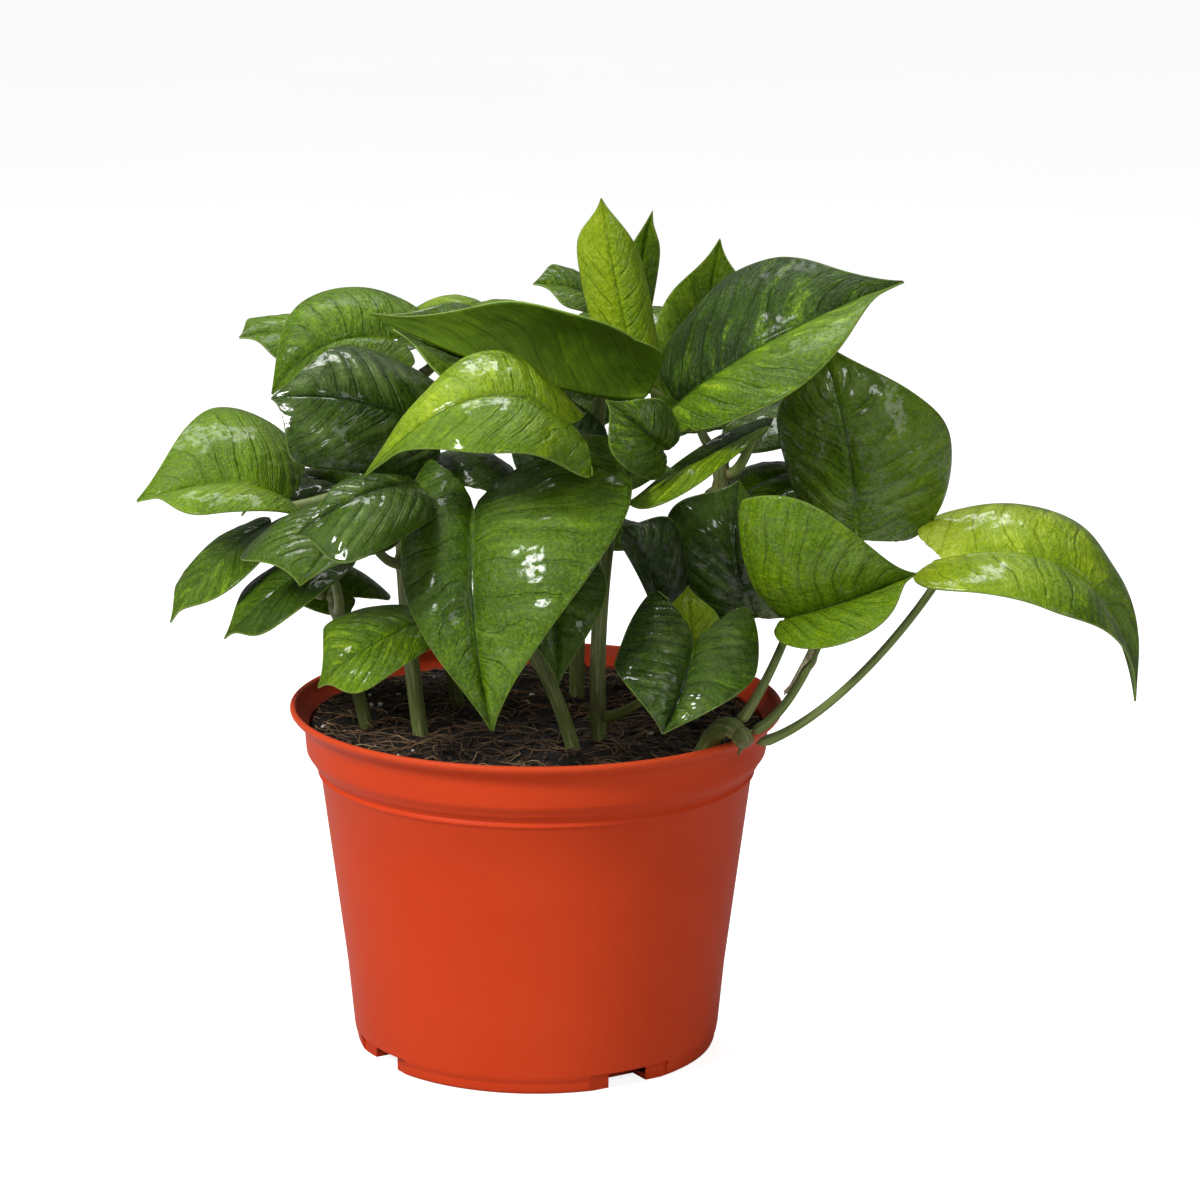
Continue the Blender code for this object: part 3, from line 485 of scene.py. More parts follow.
def build_leaf(index, leaf, sizes, materials):
    """One leaf: the blade with its rib, veins and puffed skin, given a thickness and joined to its stalk."""
    look = look_of(index, leaf)
    blade = Blade(leaf)
    obj = new_grid(leaf.name + "_skin", BLADE_COLUMNS, BLADE_ROWS)
    along, side = grid_place(obj)
    across = np.abs(side)
    points, share, from_rib, from_edge = blade.surface(along, side)
    phase = vein_phase(share, across)
    table = points.reshape(-1, BLADE_COLUMNS + 1, 3)
    normals = unit(np.cross(np.gradient(table, axis=1), np.gradient(table, axis=0))).reshape(-1, 3)
    middle = smooth(across, 0.02, 0.3) * smooth(1.0 - across, 0.0, 0.4) * smooth(1.0 - along, 0.0, 0.2)
    vein = phase + 0.5 * (side > 0.0) + 0.5 * noise_at(points, 16.0, index)
    puff = 0.5 - 0.5 * np.cos(2.0 * math.pi * vein)
    patch = np.clip(0.4 + 1.3 * noise_at(points, 13.0, index + 50), 0.0, 1.3)
    lanes = np.stack((vein * 7.0, across * 9.0, side * 3.0), -1)
    crinkle = noise_at(lanes, 2.4, index + 250) * 0.6 + noise_at(lanes, 1.1, index + 300) * 0.35
    ruffle = noise_at(points, 19.0, index + 100) * smooth(across, 0.3, 1.0) * smooth(1.0 - along, 0.0, 0.15)
    broad = noise_at(points, 30.0, index + 150) * 0.7 * middle
    rib = -0.75 * np.exp(-(from_rib / 0.9) ** 2) * smooth(1.0 - share, 0.0, 0.25)
    cell = noise_at(points, 3.4, index + 200) * 0.24 + crinkle * look.quilt * 0.36
    cell = cell * smooth(across, 0.03, 0.2)
    cell = cell * smooth(1.0 - along, 0.0, 0.3) * smooth(1.0 - across, 0.0, 0.2)
    lift = (look.quilt * sizes.quilting * puff * patch * middle + look.wave * sizes.ruffle * ruffle
            + broad + rib + cell)
    move_points(obj, points + normals * lift[:, None])
    tone = (look.base + (look.tip - look.base) * np.clip(share, 0.0, 1.0)
            + np.where(side > 0.0, look.right, look.left) * smooth(across, 0.0, 0.15))
    store(obj, "tone", np.stack((tone, np.full_like(tone, look.mottle), np.full_like(tone, look.gloss)), -1))
    store(obj, "flow", np.stack((vein + 20.0 * index, side + 4.0 * index, share), -1))
    # crest marks where the skin puffs up between veins; the upper skin paints it paler and lays a painted
    # sheen on it.
    crest = np.clip(0.25 + 0.75 * puff * patch, 0.0, 1.0) * middle
    store(obj, "margin", np.stack((from_rib, from_edge, crest), -1))
    for material in (materials["leaf_upper_skin"], materials["leaf_underside"], materials["leaf_edge"]):
        obj.data.materials.append(material)
    shell = obj.modifiers.new("thickness", 'SOLIDIFY')
    shell.thickness = sizes.thickness
    shell.offset = 0.0
    shell.material_offset = 1
    shell.material_offset_rim = 2
    shade(obj)
    apply_modifiers(obj)
    stalk = leaf_stalk(leaf, blade, materials["stem_skin"])
    join(obj, stalk)
    obj.name = obj.data.name = leaf.name + "_blade"
    return finish(obj, leaf.colour, leaf.name)


# --------------------------------------------------------------- materials
def add_node(tree, kind, values=None, **settings):
    """Adds a node: settings are its own options, values its inputs, each a number or another's output."""
    node = tree.nodes.new(kind)
    for key, value in settings.items():
        setattr(node, key, value)
    for key, value in (values or {}).items():
        if isinstance(value, bpy.types.NodeSocket):
            tree.links.new(value, node.inputs[key])
        else:
            node.inputs[key].default_value = value
    return node


def calc(tree, operation, first, second=0.0, third=0.0):
    return add_node(tree, 'ShaderNodeMath', {0: first, 1: second, 2: third}, operation=operation).outputs[0]


def ease(tree, value, low, high, first=0.0, last=1.0):
    """A soft step from first at low to last at high."""
    return add_node(tree, 'ShaderNodeMapRange', {0: value, 1: low, 2: high, 3: first, 4: last},
                    interpolation_type='SMOOTHSTEP').outputs[0]


def blend(tree, factor, first, second, kind='MIX'):
    return add_node(tree, 'ShaderNodeMix', {0: factor, 6: first, 7: second}, data_type='RGBA',
                    blend_type=kind).outputs[2]


def pattern(tree, vector, scale, detail=3.0, roughness=0.55):
    return add_node(tree, 'ShaderNodeTexNoise', {"Vector": vector, "Scale": scale, "Detail": detail,
                                                 "Roughness": roughness}).outputs["Fac"]


def attribute(tree, name):
    """The three parts of a vector attribute."""
    source = add_node(tree, 'ShaderNodeAttribute', attribute_name=name)
    return add_node(tree, 'ShaderNodeSeparateXYZ', {0: source.outputs["Vector"]}).outputs


def position(tree):
    return add_node(tree, 'ShaderNodeTexCoord').outputs["Object"]


def ramp(tree, value, stops):
    node = add_node(tree, 'ShaderNodeValToRGB', {0: value})
    points = node.color_ramp.elements
    while len(points) < len(stops):
        points.new(0.5)
    for point, (place, colour) in zip(points, stops):
        point.position = place
        point.color = (*colour, 1.0)
    return node.outputs[0]


def new_group(name, inputs, outputs):
    """An empty shader node group with float inputs and the named outputs."""
    tree = bpy.data.node_groups.new(name, 'ShaderNodeTree')
    for label, default in inputs.items():
        socket = tree.interface.new_socket(label, in_out='INPUT', socket_type='NodeSocketFloat')
        socket.default_value = default
    for label, kind in outputs.items():
        tree.interface.new_socket(label, in_out='OUTPUT', socket_type=kind)
    return tree, tree.nodes.new('NodeGroupInput').outputs, tree.nodes.new('NodeGroupOutput').inputs


def use_group(tree, group, values=None):
    node = tree.nodes.new('ShaderNodeGroup')
    node.node_tree = group
    for key, value in (values or {}).items():
        if isinstance(value, bpy.types.NodeSocket):
            tree.links.new(value, node.inputs[key])
        else:
            node.inputs[key].default_value = value
    return node.outputs


def new_material(name, **constants):
    """A material whose shader has these constants: the key is the socket's name with _ for each space."""
    material = bpy.data.materials.new(name)
    material.use_nodes = True
    tree = material.node_tree
    shader = tree.nodes["Principled BSDF"]
    for key, value in constants.items():
        shader.inputs[key.replace("_", " ")].default_value = value
    return material, tree, shader.inputs


def relief(tree, socket, height, distance, strength=1.0):
    """Bumps the surface by a height between 0 and 1 that stands for the distance in metres."""
    bump = add_node(tree, 'ShaderNodeBump', {"Strength": strength, "Distance": distance, "Height": height})
    tree.links.new(bump.outputs[0], socket)


def leaf_lines():
    """Masks of a leaf's lines: midrib, side veins, fine striations and the edge band that carries the painted
    edge highlight.
    """
    name = "leaf_lines"
    if name in bpy.data.node_groups:
        return bpy.data.node_groups[name]
    tree, given, out = new_group(name, {"Midrib Width": 0.5, "Edge Width": 0.4},
                                 {"Midrib": 'NodeSocketFloat', "Veins": 'NodeSocketFloat',
                                  "Striations": 'NodeSocketFloat', "Edge": 'NodeSocketFloat'})
    phase, side, share = attribute(tree, "flow")
    from_rib, from_edge = attribute(tree, "margin")[:2]
    width = calc(tree, 'MULTIPLY', given["Midrib Width"], calc(tree, 'MULTIPLY_ADD', share, -0.9, 1.15))
    tree.links.new(ease(tree, calc(tree, 'DIVIDE', from_rib, width), 0.5, 1.5, 1.0, 0.0), out["Midrib"])
    wobble = pattern(tree, position(tree), 240.0, 2.0)
    shifted = calc(tree, 'MULTIPLY_ADD', wobble, 0.22, phase)
    away = calc(tree, 'PINGPONG', shifted, 0.5)
    line = ease(tree, away, 0.02, 0.085, 1.0, 0.0)
    fade = calc(tree, 'MULTIPLY', ease(tree, from_rib, 0.2, 3.0), ease(tree, from_edge, 1.0, 7.0))
    tree.links.new(calc(tree, 'MULTIPLY', line, fade), out["Veins"])
    lanes = add_node(tree, 'ShaderNodeCombineXYZ', {0: calc(tree, 'MULTIPLY', shifted, 7.0),
                                                    1: calc(tree, 'MULTIPLY', side, 2.2), 2: share})
    tree.links.new(pattern(tree, lanes.outputs[0], 1.0, 4.0, 0.6), out["Striations"])
    tree.links.new(ease(tree, calc(tree, 'DIVIDE', from_edge, given["Edge Width"]), 0.5, 1.6, 1.0, 0.0),
                   out["Edge"])
    return tree


def leaf_mottle():
    """Pale patches that run out along the veins, and the slow drift of tone over a leaf."""
    name = "leaf_mottle"
    if name in bpy.data.node_groups:
        return bpy.data.node_groups[name]
    tree, given, out = new_group(name, {"Amount": 0.3}, {"Tone": 'NodeSocketFloat'})
    phase, side, share = attribute(tree, "flow")
    lanes = add_node(tree, 'ShaderNodeCombineXYZ', {0: calc(tree, 'MULTIPLY', phase, 1.7),
                                                    1: calc(tree, 'MULTIPLY', side, 1.9), 2: share})
    patches = pattern(tree, lanes.outputs[0], 1.0, 5.0, 0.62)
    sparse = ease(tree, patches, 0.5, 0.68)
    fine = ease(tree, pattern(tree, position(tree), 900.0, 3.0, 0.7), 0.45, 0.62)
    torn = calc(tree, 'MULTIPLY', sparse, calc(tree, 'MULTIPLY_ADD', fine, 0.55, 0.45))
    drift = calc(tree, 'SUBTRACT', pattern(tree, position(tree), 42.0, 2.0), 0.5)
    amount = calc(tree, 'MULTIPLY', given["Amount"], 0.42)
    patched = calc(tree, 'MULTIPLY', torn, amount)
    tree.links.new(calc(tree, 'ADD', patched, calc(tree, 'MULTIPLY', drift, 0.34)), out["Tone"])
    return tree


# Colour of the painted sheen: a pale grey green laid on the puffed crests of glossy leaves in place of a
# broad reflection.
LEAF_PAINTED_SHEEN = (0.25, 0.36, 0.1, 1.0)
LEAF_STOPS = (
    (0.0, (0.005, 0.015, 0.0003)),
    (0.18, (0.014, 0.038, 0.0006)),
    (0.38, (0.048, 0.103, 0.0014)),
    (0.56, (0.118, 0.220, 0.003)),
    (0.74, (0.235, 0.345, 0.004)),
    (0.88, (0.340, 0.450, 0.012)),
    (1.0, (0.470, 0.570, 0.070)),
)


def leaf_upper(colours):
    """The glossy upper skin: painted shade in the sunken veins and in the midrib past its pale base, paler
    crests with a painted sheen, a painted edge highlight, pale torn patches and a crinkled shine.
    """
    material, tree, shader = new_material("leaf_upper_skin", IOR=1.42, Specular_IOR_Level=0.22,
                                          Coat_Roughness=0.11, Coat_IOR=1.5)
    tone, mottle, gloss = attribute(tree, "tone")
    lines = use_group(tree, leaf_lines(), {"Midrib Width": 0.5, "Edge Width": 0.4})
    drift = use_group(tree, leaf_mottle(), {"Amount": mottle})
    share, crest = attribute(tree, "flow")[2], attribute(tree, "margin")[2]
    speck = ease(tree, pattern(tree, position(tree), 950.0, 3.0, 0.65), 0.38, 0.64, -0.5, 0.5)
    total = calc(tree, 'ADD', tone, drift["Tone"])
    total = calc(tree, 'MULTIPLY_ADD', calc(tree, 'SUBTRACT', lines["Striations"], 0.5), 0.22, total)
    total = calc(tree, 'MULTIPLY_ADD', speck, 0.12, total)
    # Painted shade of the quilting: the vein grooves are darkened and the puffed crests between them
    # lightened.
    total = calc(tree, 'MULTIPLY_ADD', lines["Veins"], -0.035, total)
    total = calc(tree, 'MULTIPLY_ADD', crest, 0.05, total)
    # The midrib is paler near the base, its own colour, and darker further on, painted shade in its groove.
    midrib_pale_base_and_shade = calc(tree, 'MULTIPLY', lines["Midrib"], ease(tree, share, 0.05, 0.3, 0.16, -0.13))
    total = calc(tree, 'ADD', midrib_pale_base_and_shade, total)
    skin = ramp(tree, total, LEAF_STOPS)
    # Painted highlight: a pale band along the blade's edge, blended in from the leaf line colour.
    skin = blend(tree, calc(tree, 'MULTIPLY', lines["Edge"], 0.4), skin, (*colours.vein, 1.0))
    smear = pattern(tree, position(tree), 90.0, 5.0, 0.65)
    # Painted sheen: the base colour turns pale grey green on the crests of glossy leaves, in patches,
    # standing in for reflected light.
    painted_sheen = calc(tree, 'MULTIPLY', calc(tree, 'MULTIPLY', crest, gloss),
                 ease(tree, smear, 0.36, 0.62, 0.0, 0.42))
    skin = blend(tree, painted_sheen, skin, LEAF_PAINTED_SHEEN)
    tree.links.new(skin, shader["Base Color"])
    rough = calc(tree, 'MULTIPLY_ADD', gloss, -0.2, ease(tree, smear, 0.36, 0.64, 0.44, 0.34))
    tree.links.new(rough, shader["Roughness"])
    place = position(tree)
    warp = add_node(tree, 'ShaderNodeTexNoise', {"Vector": place, "Scale": 260.0, "Detail": 2.0})
    bent = add_node(tree, 'ShaderNodeVectorMath',
                    {0: warp.outputs["Color"], 1: (0.0016, 0.0016, 0.0016), 2: place},
                    operation='MULTIPLY_ADD').outputs[0]
    cells = add_node(tree, 'ShaderNodeTexVoronoi', {"Vector": bent, "Scale": 430.0},
                     feature='SMOOTH_F1').outputs["Distance"]
    crinkle = pattern(tree, bent, 400.0, 4.0, 0.65)
    broken = calc(tree, 'MULTIPLY', ease(tree, crinkle, 0.4, 0.56), ease(tree, smear, 0.3, 0.55, 0.35, 1.0))
    wet = calc(tree, 'MULTIPLY_ADD', gloss, 1.0, 0.06)
    tree.links.new(calc(tree, 'MULTIPLY', wet, broken), shader["Coat Weight"])
    height = calc(tree, 'MULTIPLY_ADD', cells, -0.35, calc(tree, 'MULTIPLY', lines["Striations"], 0.7))
    height = calc(tree, 'MULTIPLY_ADD', crinkle, 0.8, height)
    height = calc(tree, 'MULTIPLY_ADD', lines["Veins"], -0.35, height)
    relief(tree, shader["Normal"], height, 0.0011, 1.0)
    return material


def leaf_under():
    """The duller underside with its raised rib and veins."""
    material, tree, shader = new_material("leaf_underside", IOR=1.4, Specular_IOR_Level=0.18)
    tone, mottle = attribute(tree, "tone")[:2]
    lines = use_group(tree, leaf_lines(), {"Midrib Width": 0.8, "Edge Width": 0.4})
    drift = use_group(tree, leaf_mottle(), {"Amount": mottle})
    speck = pattern(tree, position(tree), 1100.0, 3.0, 0.65)
    total = calc(tree, 'MULTIPLY_ADD', calc(tree, 'ADD', tone, drift["Tone"]), 0.85, 0.1)
    total = calc(tree, 'MULTIPLY_ADD', calc(tree, 'SUBTRACT', lines["Striations"], 0.5), 0.22, total)
    total = calc(tree, 'MULTIPLY_ADD', calc(tree, 'SUBTRACT', speck, 0.5), 0.18, total)
    raised = calc(tree, 'MAXIMUM', lines["Midrib"], calc(tree, 'MULTIPLY', lines["Veins"], 0.6))
    total = calc(tree, 'MULTIPLY_ADD', lines["Veins"], -0.05, total)
    total = calc(tree, 'MULTIPLY_ADD', lines["Midrib"], 0.1, total)
    skin = ramp(tree, total, LEAF_STOPS)
    skin = blend(tree, 0.1, skin, (0.17, 0.24, 0.04, 1.0))
    tree.links.new(skin, shader["Base Color"])
    rough = calc(tree, 'MULTIPLY_ADD', pattern(tree, position(tree), 300.0), 0.2, 0.36)
    tree.links.new(rough, shader["Roughness"])
    height = calc(tree, 'MULTIPLY_ADD', lines["Striations"], 0.5, calc(tree, 'MULTIPLY', raised, 0.6))
    relief(tree, shader["Normal"], height, 0.0005, 0.8)
    return material


def leaf_rim(colours):
    """The thin, almost clear cut edge of a blade."""
    material, tree, shader = new_material("leaf_edge", IOR=1.4)
    grain = pattern(tree, position(tree), 260.0, 3.0)
    skin = blend(tree, grain, (0.1, 0.21, 0.015, 1.0), (*colours.vein, 1.0))
    tree.links.new(skin, shader["Base Color"])
    tree.links.new(calc(tree, 'MULTIPLY_ADD', grain, 0.2, 0.35), shader["Roughness"])
    return material


def stem_skin(colours):
    """Leaf stalks and vines: streaked green, browner and rougher at each joint."""
    material, tree, shader = new_material("stem_skin", IOR=1.42)
    length, around, lean = attribute(tree, "stem")
    ring = attribute(tree, "joint")[0]
    lanes = add_node(tree, 'ShaderNodeCombineXYZ', {0: calc(tree, 'MULTIPLY', length, 0.05),
                                                    1: calc(tree, 'MULTIPLY', around, 2.4),
                                                    2: calc(tree, 'MULTIPLY', lean, 2.4)}).outputs[0]
    streak = pattern(tree, lanes, 1.6, 4.0, 0.6)
    speck = ease(tree, pattern(tree, position(tree), 700.0, 3.0), 0.6, 0.7)
    skin = ramp(tree, streak, ((0.25, (0.055, 0.085, 0.018)), (0.5, (0.130, 0.170, 0.045)),
                               (0.72, (0.30, 0.33, 0.14))))
    skin = blend(tree, calc(tree, 'MULTIPLY', ease(tree, around, -0.2, 0.9), 0.35), skin,
                 (*colours.vein, 1.0))
    brown = calc(tree, 'MULTIPLY', ring, ease(tree, pattern(tree, position(tree), 420.0, 3.0), 0.35, 0.65))
    skin = blend(tree, calc(tree, 'MULTIPLY', brown, 0.75), skin, (0.13, 0.075, 0.03, 1.0))
    skin = blend(tree, calc(tree, 'MULTIPLY', speck, 0.3), skin, (0.3, 0.34, 0.16, 1.0))
    tree.links.new(skin, shader["Base Color"])
    tree.links.new(calc(tree, 'MULTIPLY_ADD', streak, 0.25, 0.28), shader["Roughness"])
    relief(tree, shader["Normal"], calc(tree, 'ADD', streak, calc(tree, 'MULTIPLY', brown, 0.5)), 0.0003, 0.8)
    return material


def leaf_materials(colours):
    """The living plant's four materials by name, each made once and then used again."""
    made = bpy.data.materials
    return {"leaf_upper_skin": made.get("leaf_upper_skin") or leaf_upper(colours),
            "leaf_underside": made.get("leaf_underside") or leaf_under(),
            "leaf_edge": made.get("leaf_edge") or leaf_rim(colours),
            "stem_skin": made.get("stem_skin") or stem_skin(colours)}


# --------------------------------------------------------------------- pot
POT_SEGMENTS = 176
FOOT_INSET = 21.3
FIRST_SLOT = 31.0


def pot_rings(sizes):
    """Radius and height (mm) of each ring, from the inner floor up, over the lip and down the outside."""
    top, lip = sizes.pot_height / MM, sizes.lip_radius / MM
    wall = sizes.wall / MM
    collar, body, foot = lip - 5.0, lip - 10.2, lip - FOOT_INSET
    inner = [(0.4, 1.8), (20.0, 1.8), (foot - 4.2, 1.8), (foot - 3.3, 2.3), (foot - 3.0, 3.4),
             (foot - 2.5, 6.6), (foot - wall + 0.8, 9.6), (body - wall, top - 23.5),
             (body - wall + 1.6, top - 19.7),
             (collar - wall - 0.6, top - 16.1), (collar - wall, top - 6.5), (lip - 3.6, top - 4.2),
             (lip - 2.6, top - 2.6), (lip - 2.2, top - 1.2), (lip - 1.9, top - 0.4), (lip - 1.5, top - 0.05)]
    outer = [(lip - 0.75, top), (lip - 0.3, top - 0.2), (lip - 0.05, top - 0.6), (lip, top - 1.2),
             (lip - 0.2, top - 1.8), (lip - 0.8, top - 2.6), (lip - 1.8, top - 3.6), (lip - 2.9, top - 4.6),
             (lip - 3.9, top - 5.6), (collar + 0.5, top - 6.7), (collar + 0.1, top - 8.2),
             (collar, top - 10.0), (collar - 0.35, top - 14.6), (collar - 0.5, top - 15.3),
             (collar - 1.0, top - 16.2),
             (collar - 1.9, top - 17.4), (collar - 2.5, top - 18.4), (collar - 2.7, top - 18.9),
             (collar - 3.5, top - 19.5), (collar - 4.0, top - 20.2), (body + 0.75, top - 20.9),
             (body + 0.55, top - 21.3), (body + 1.05, top - 21.9), (body + 1.1, top - 22.6),
             (body + 0.5, top - 23.4), (body, top - 24.2), (0.75 * body + 0.25 * foot, 0.75 * top - 16.3),
             (0.5 * (body + foot), 0.5 * top - 8.6), (0.25 * body + 0.75 * foot, 0.25 * top - 1.0),
             (foot + 0.7, 6.8), (foot + 0.32, 4.5), (foot - 0.05, 4.1), (foot - 0.1, 3.4), (foot - 0.45, 1.4),
             (foot - 0.8, 0.5), (foot - 1.5, 0.05), (foot - 3.0, 0.0), (24.0, 0.0), (0.4, 0.0)]
    return inner + outer


def turned_body(name, rings, segments):
    """A closed body: a circle at the first ring, extruded and resized through the others."""
    deselect()
    radius, height = rings[0]
    bpy.ops.mesh.primitive_circle_add(vertices=segments, radius=radius * MM, fill_type='NGON',
                                      location=(0.0, 0.0, height * MM))
    obj = bpy.context.active_object
    obj.name = obj.data.name = name
    bpy.ops.object.transform_apply(location=True, rotation=False, scale=False)
    bpy.ops.object.mode_set(mode='EDIT')
    for (old, low), (new, high) in zip(rings, rings[1:]):
        bpy.ops.mesh.extrude_region_move(TRANSFORM_OT_translate={"value": (0.0, 0.0, (high - low) * MM)})
        scale = new / old
        bpy.ops.transform.resize(value=(scale, scale, 1.0), center_override=(0.0, 0.0, high * MM))
    bpy.ops.mesh.select_all(action='SELECT')
    bpy.ops.mesh.normals_make_consistent(inside=False)
    bpy.ops.object.mode_set(mode='OBJECT')
    return obj


def cut_box(target, size, radius, degrees):
    """Cuts a box of the size (mm) whose centre is at the radius and turn from the front, on the floor."""
    turn = math.radians(degrees)
    deselect()
    place = (radius * MM * math.sin(turn), -radius * MM * math.cos(turn), 0.0)
    bpy.ops.mesh.primitive_cube_add(size=1.0, location=place, rotation=(0.0, 0.0, turn))
    cutter = bpy.context.active_object
    cutter.scale = Vector(size) * MM
    bpy.ops.object.transform_apply(location=True, rotation=True, scale=True)
    modifier = target.modifiers.new("cut", 'BOOLEAN')
    modifier.object = cutter
    modifier.solver = 'EXACT'
    apply_modifiers(target)
    bpy.data.objects.remove(cutter, do_unlink=True)


def pot_plastic(colours, sizes):
    """Terracotta-coloured moulded plastic: faint flow marks, fine grain, scuffs, a little dust and a painted
    highlight along the lip.
    """
    material, tree, shader = new_material("pot_plastic", IOR=1.46, Specular_IOR_Level=0.09)
    place = position(tree)
    parts = add_node(tree, 'ShaderNodeSeparateXYZ', {0: place}).outputs
    squashed = add_node(tree, 'ShaderNodeMapping', {0: place, "Scale": (26.0, 26.0, 60.0)}).outputs[0]
    flow = pattern(tree, squashed, 1.0, 3.0, 0.5)
    cloud = pattern(tree, place, 9.0, 3.0, 0.5)
    colour = blend(tree, ease(tree, cloud, 0.3, 0.7), (*colours.pot_deep, 1.0), (*colours.pot, 1.0))
    colour = blend(tree, calc(tree, 'MULTIPLY', flow, 0.18), colour, (*colours.pot_pale, 1.0))
    top = sizes.pot_height
    # Painted highlight: the top 3.5 mm of the lip is blended towards the paler plastic colour.
    lip = ease(tree, parts["Z"], top - 0.0035, top - 0.0005)
    colour = blend(tree, calc(tree, 'MULTIPLY', lip, 0.22), colour, (*colours.pot_pale, 1.0))
    scratch_lanes = add_node(tree, 'ShaderNodeMapping', {0: place, "Scale": (90.0, 90.0, 900.0),
                                                         "Rotation": (0.3, 0.2, 0.0)}).outputs[0]
    scratch = calc(tree, 'MULTIPLY', ease(tree, pattern(tree, scratch_lanes, 1.0, 2.0), 0.68, 0.76),
                   ease(tree, pattern(tree, place, 22.0, 2.0), 0.5, 0.66))
    colour = blend(tree, calc(tree, 'MULTIPLY', scratch, 0.25), colour, (*colours.pot_pale, 1.0))
    specks = use_group(tree, dust_specks(), {"Size": 1.0, "Amount": 0.5})
    low = ease(tree, parts["Z"], 0.0, 0.02, 1.0, 0.25)
    colour = blend(tree, calc(tree, 'MULTIPLY', specks["Specks"], calc(tree, 'MULTIPLY', low, 0.45)), colour,
                   (0.12, 0.06, 0.035, 1.0))
    tree.links.new(colour, shader["Base Color"])
    rough = calc(tree, 'MULTIPLY_ADD', cloud, 0.12, calc(tree, 'MULTIPLY_ADD', flow, 0.1, 0.34))
    tree.links.new(calc(tree, 'MULTIPLY_ADD', scratch, 0.2, rough), shader["Roughness"])
    grain = pattern(tree, place, 1400.0, 2.0)
    height = calc(tree, 'MULTIPLY_ADD', flow, 0.5, calc(tree, 'MULTIPLY', grain, 0.35))
    relief(tree, shader["Normal"], calc(tree, 'MULTIPLY_ADD', scratch, -0.4, height), 0.00012, 0.7)
    return material


def dust_specks():
    """Sparse specks of dry soil and dust."""
    name = "dust_specks"
    if name in bpy.data.node_groups:
        return bpy.data.node_groups[name]
    tree, given, out = new_group(name, {"Size": 1.0, "Amount": 0.5}, {"Specks": 'NodeSocketFloat'})
    scale = calc(tree, 'DIVIDE', 520.0, given["Size"])
    cells = add_node(tree, 'ShaderNodeTexVoronoi', {"Vector": position(tree), "Scale": scale})
    lucky = add_node(tree, 'ShaderNodeSeparateXYZ', {0: cells.outputs["Color"]}).outputs["X"]
    chosen = calc(tree, 'LESS_THAN', lucky, calc(tree, 'MULTIPLY', given["Amount"], 0.06))
    dot = ease(tree, cells.outputs["Distance"], 0.12, 0.3, 1.0, 0.0)
    tree.links.new(calc(tree, 'MULTIPLY', chosen, dot), out["Specks"])
    return tree


def build_pot(sizes, colours):
    """The turned pot, with four recesses at its foot and a drain slot through each."""
    pot = turned_body("nursery_pot", pot_rings(sizes), POT_SEGMENTS)
    foot = sizes.lip_radius / MM - FOOT_INSET
    for index in range(4):
        degrees = FIRST_SLOT + 90.0 * index
        cut_box(pot, (30.0, 10.0, 12.0), foot + 2.1, degrees)
        cut_box(pot, (14.5, 13.0, 10.0), foot - 4.5, degrees)
    edge = pot.modifiers.new("edge", 'BEVEL')
    edge.limit_method = 'ANGLE'
    edge.angle_limit = math.radians(50.0)
    edge.width = 0.25 * MM
    edge.segments = 2
    apply_modifiers(pot)
    shade(pot, 40)
    pot.data.materials.clear()
    pot.data.materials.append(pot_plastic(colours, sizes))
    return finish(pot, "pot", "pot")


# -------------------------------------------------------------------- soil
SOIL_TOP = 111.0
SOIL_RADIUS = 75.6
SOIL_MOUND = 1.6
LITTER_REACH = 74.6


def soil_level(x, y):
    """Height of the potting mix (mm) at a place on its top."""
    radius = math.hypot(x, y)
    spot = Vector((x, y, 0.0))
    lumps = (1.3 * noise.noise(spot / 17.0) + 1.1 * noise.noise(spot / 6.0 + Vector((3.0, 9.0, 1.0)))
             + 0.9 * abs(noise.noise(spot / 2.6 + Vector((8.0, 2.0, 5.0))))
             + 0.35 * noise.noise(spot / 1.1 + Vector((1.0, 4.0, 7.0))))
    mound = SOIL_MOUND * (1.0 - (radius / 75.5) ** 2)
    return SOIL_TOP + mound + lumps * min(1.0, (76.0 - radius) / 5.0)


def potting_mix():
    """Damp peat: hollows between the crumbs darkened almost to black as painted shade, brown crumbs and pale
    threads.
    """
    material, tree, shader = new_material("potting_mix", IOR=1.4)
    place = position(tree)
    crumb = add_node(tree, 'ShaderNodeTexVoronoi', {"Vector": place, "Scale": 520.0}, feature='SMOOTH_F1')
    coarse = pattern(tree, place, 110.0, 5.0, 0.65)
    fine = pattern(tree, place, 900.0, 4.0, 0.7)
    tone = calc(tree, 'MULTIPLY_ADD', coarse, 0.55, calc(tree, 'MULTIPLY', fine, 0.45))
    # Painted shade: the tone drops where the crumb relief sinks, darkening the hollows between crumbs.
    tone = calc(tree, 'MULTIPLY_ADD', crumb.outputs["Distance"], -0.25, tone)
    skin = ramp(tree, tone, ((0.3, (0.003, 0.0018, 0.001)), (0.48, (0.013, 0.0072, 0.0036)),
                             (0.62, (0.045, 0.025, 0.012)), (0.78, (0.15, 0.088, 0.045))))
    specks = use_group(tree, dust_specks(), {"Size": 1.6, "Amount": 0.8})
    skin = blend(tree, calc(tree, 'MULTIPLY', specks["Specks"], 0.6), skin, (0.34, 0.27, 0.18, 1.0))
    tree.links.new(skin, shader["Base Color"])
    tree.links.new(calc(tree, 'MULTIPLY_ADD', fine, 0.3, 0.62), shader["Roughness"])
    height = calc(tree, 'MULTIPLY_ADD', crumb.outputs["Distance"], -0.6, calc(tree, 'ADD', coarse, fine))
    relief(tree, shader["Normal"], height, 0.0012, 0.9)
    return material


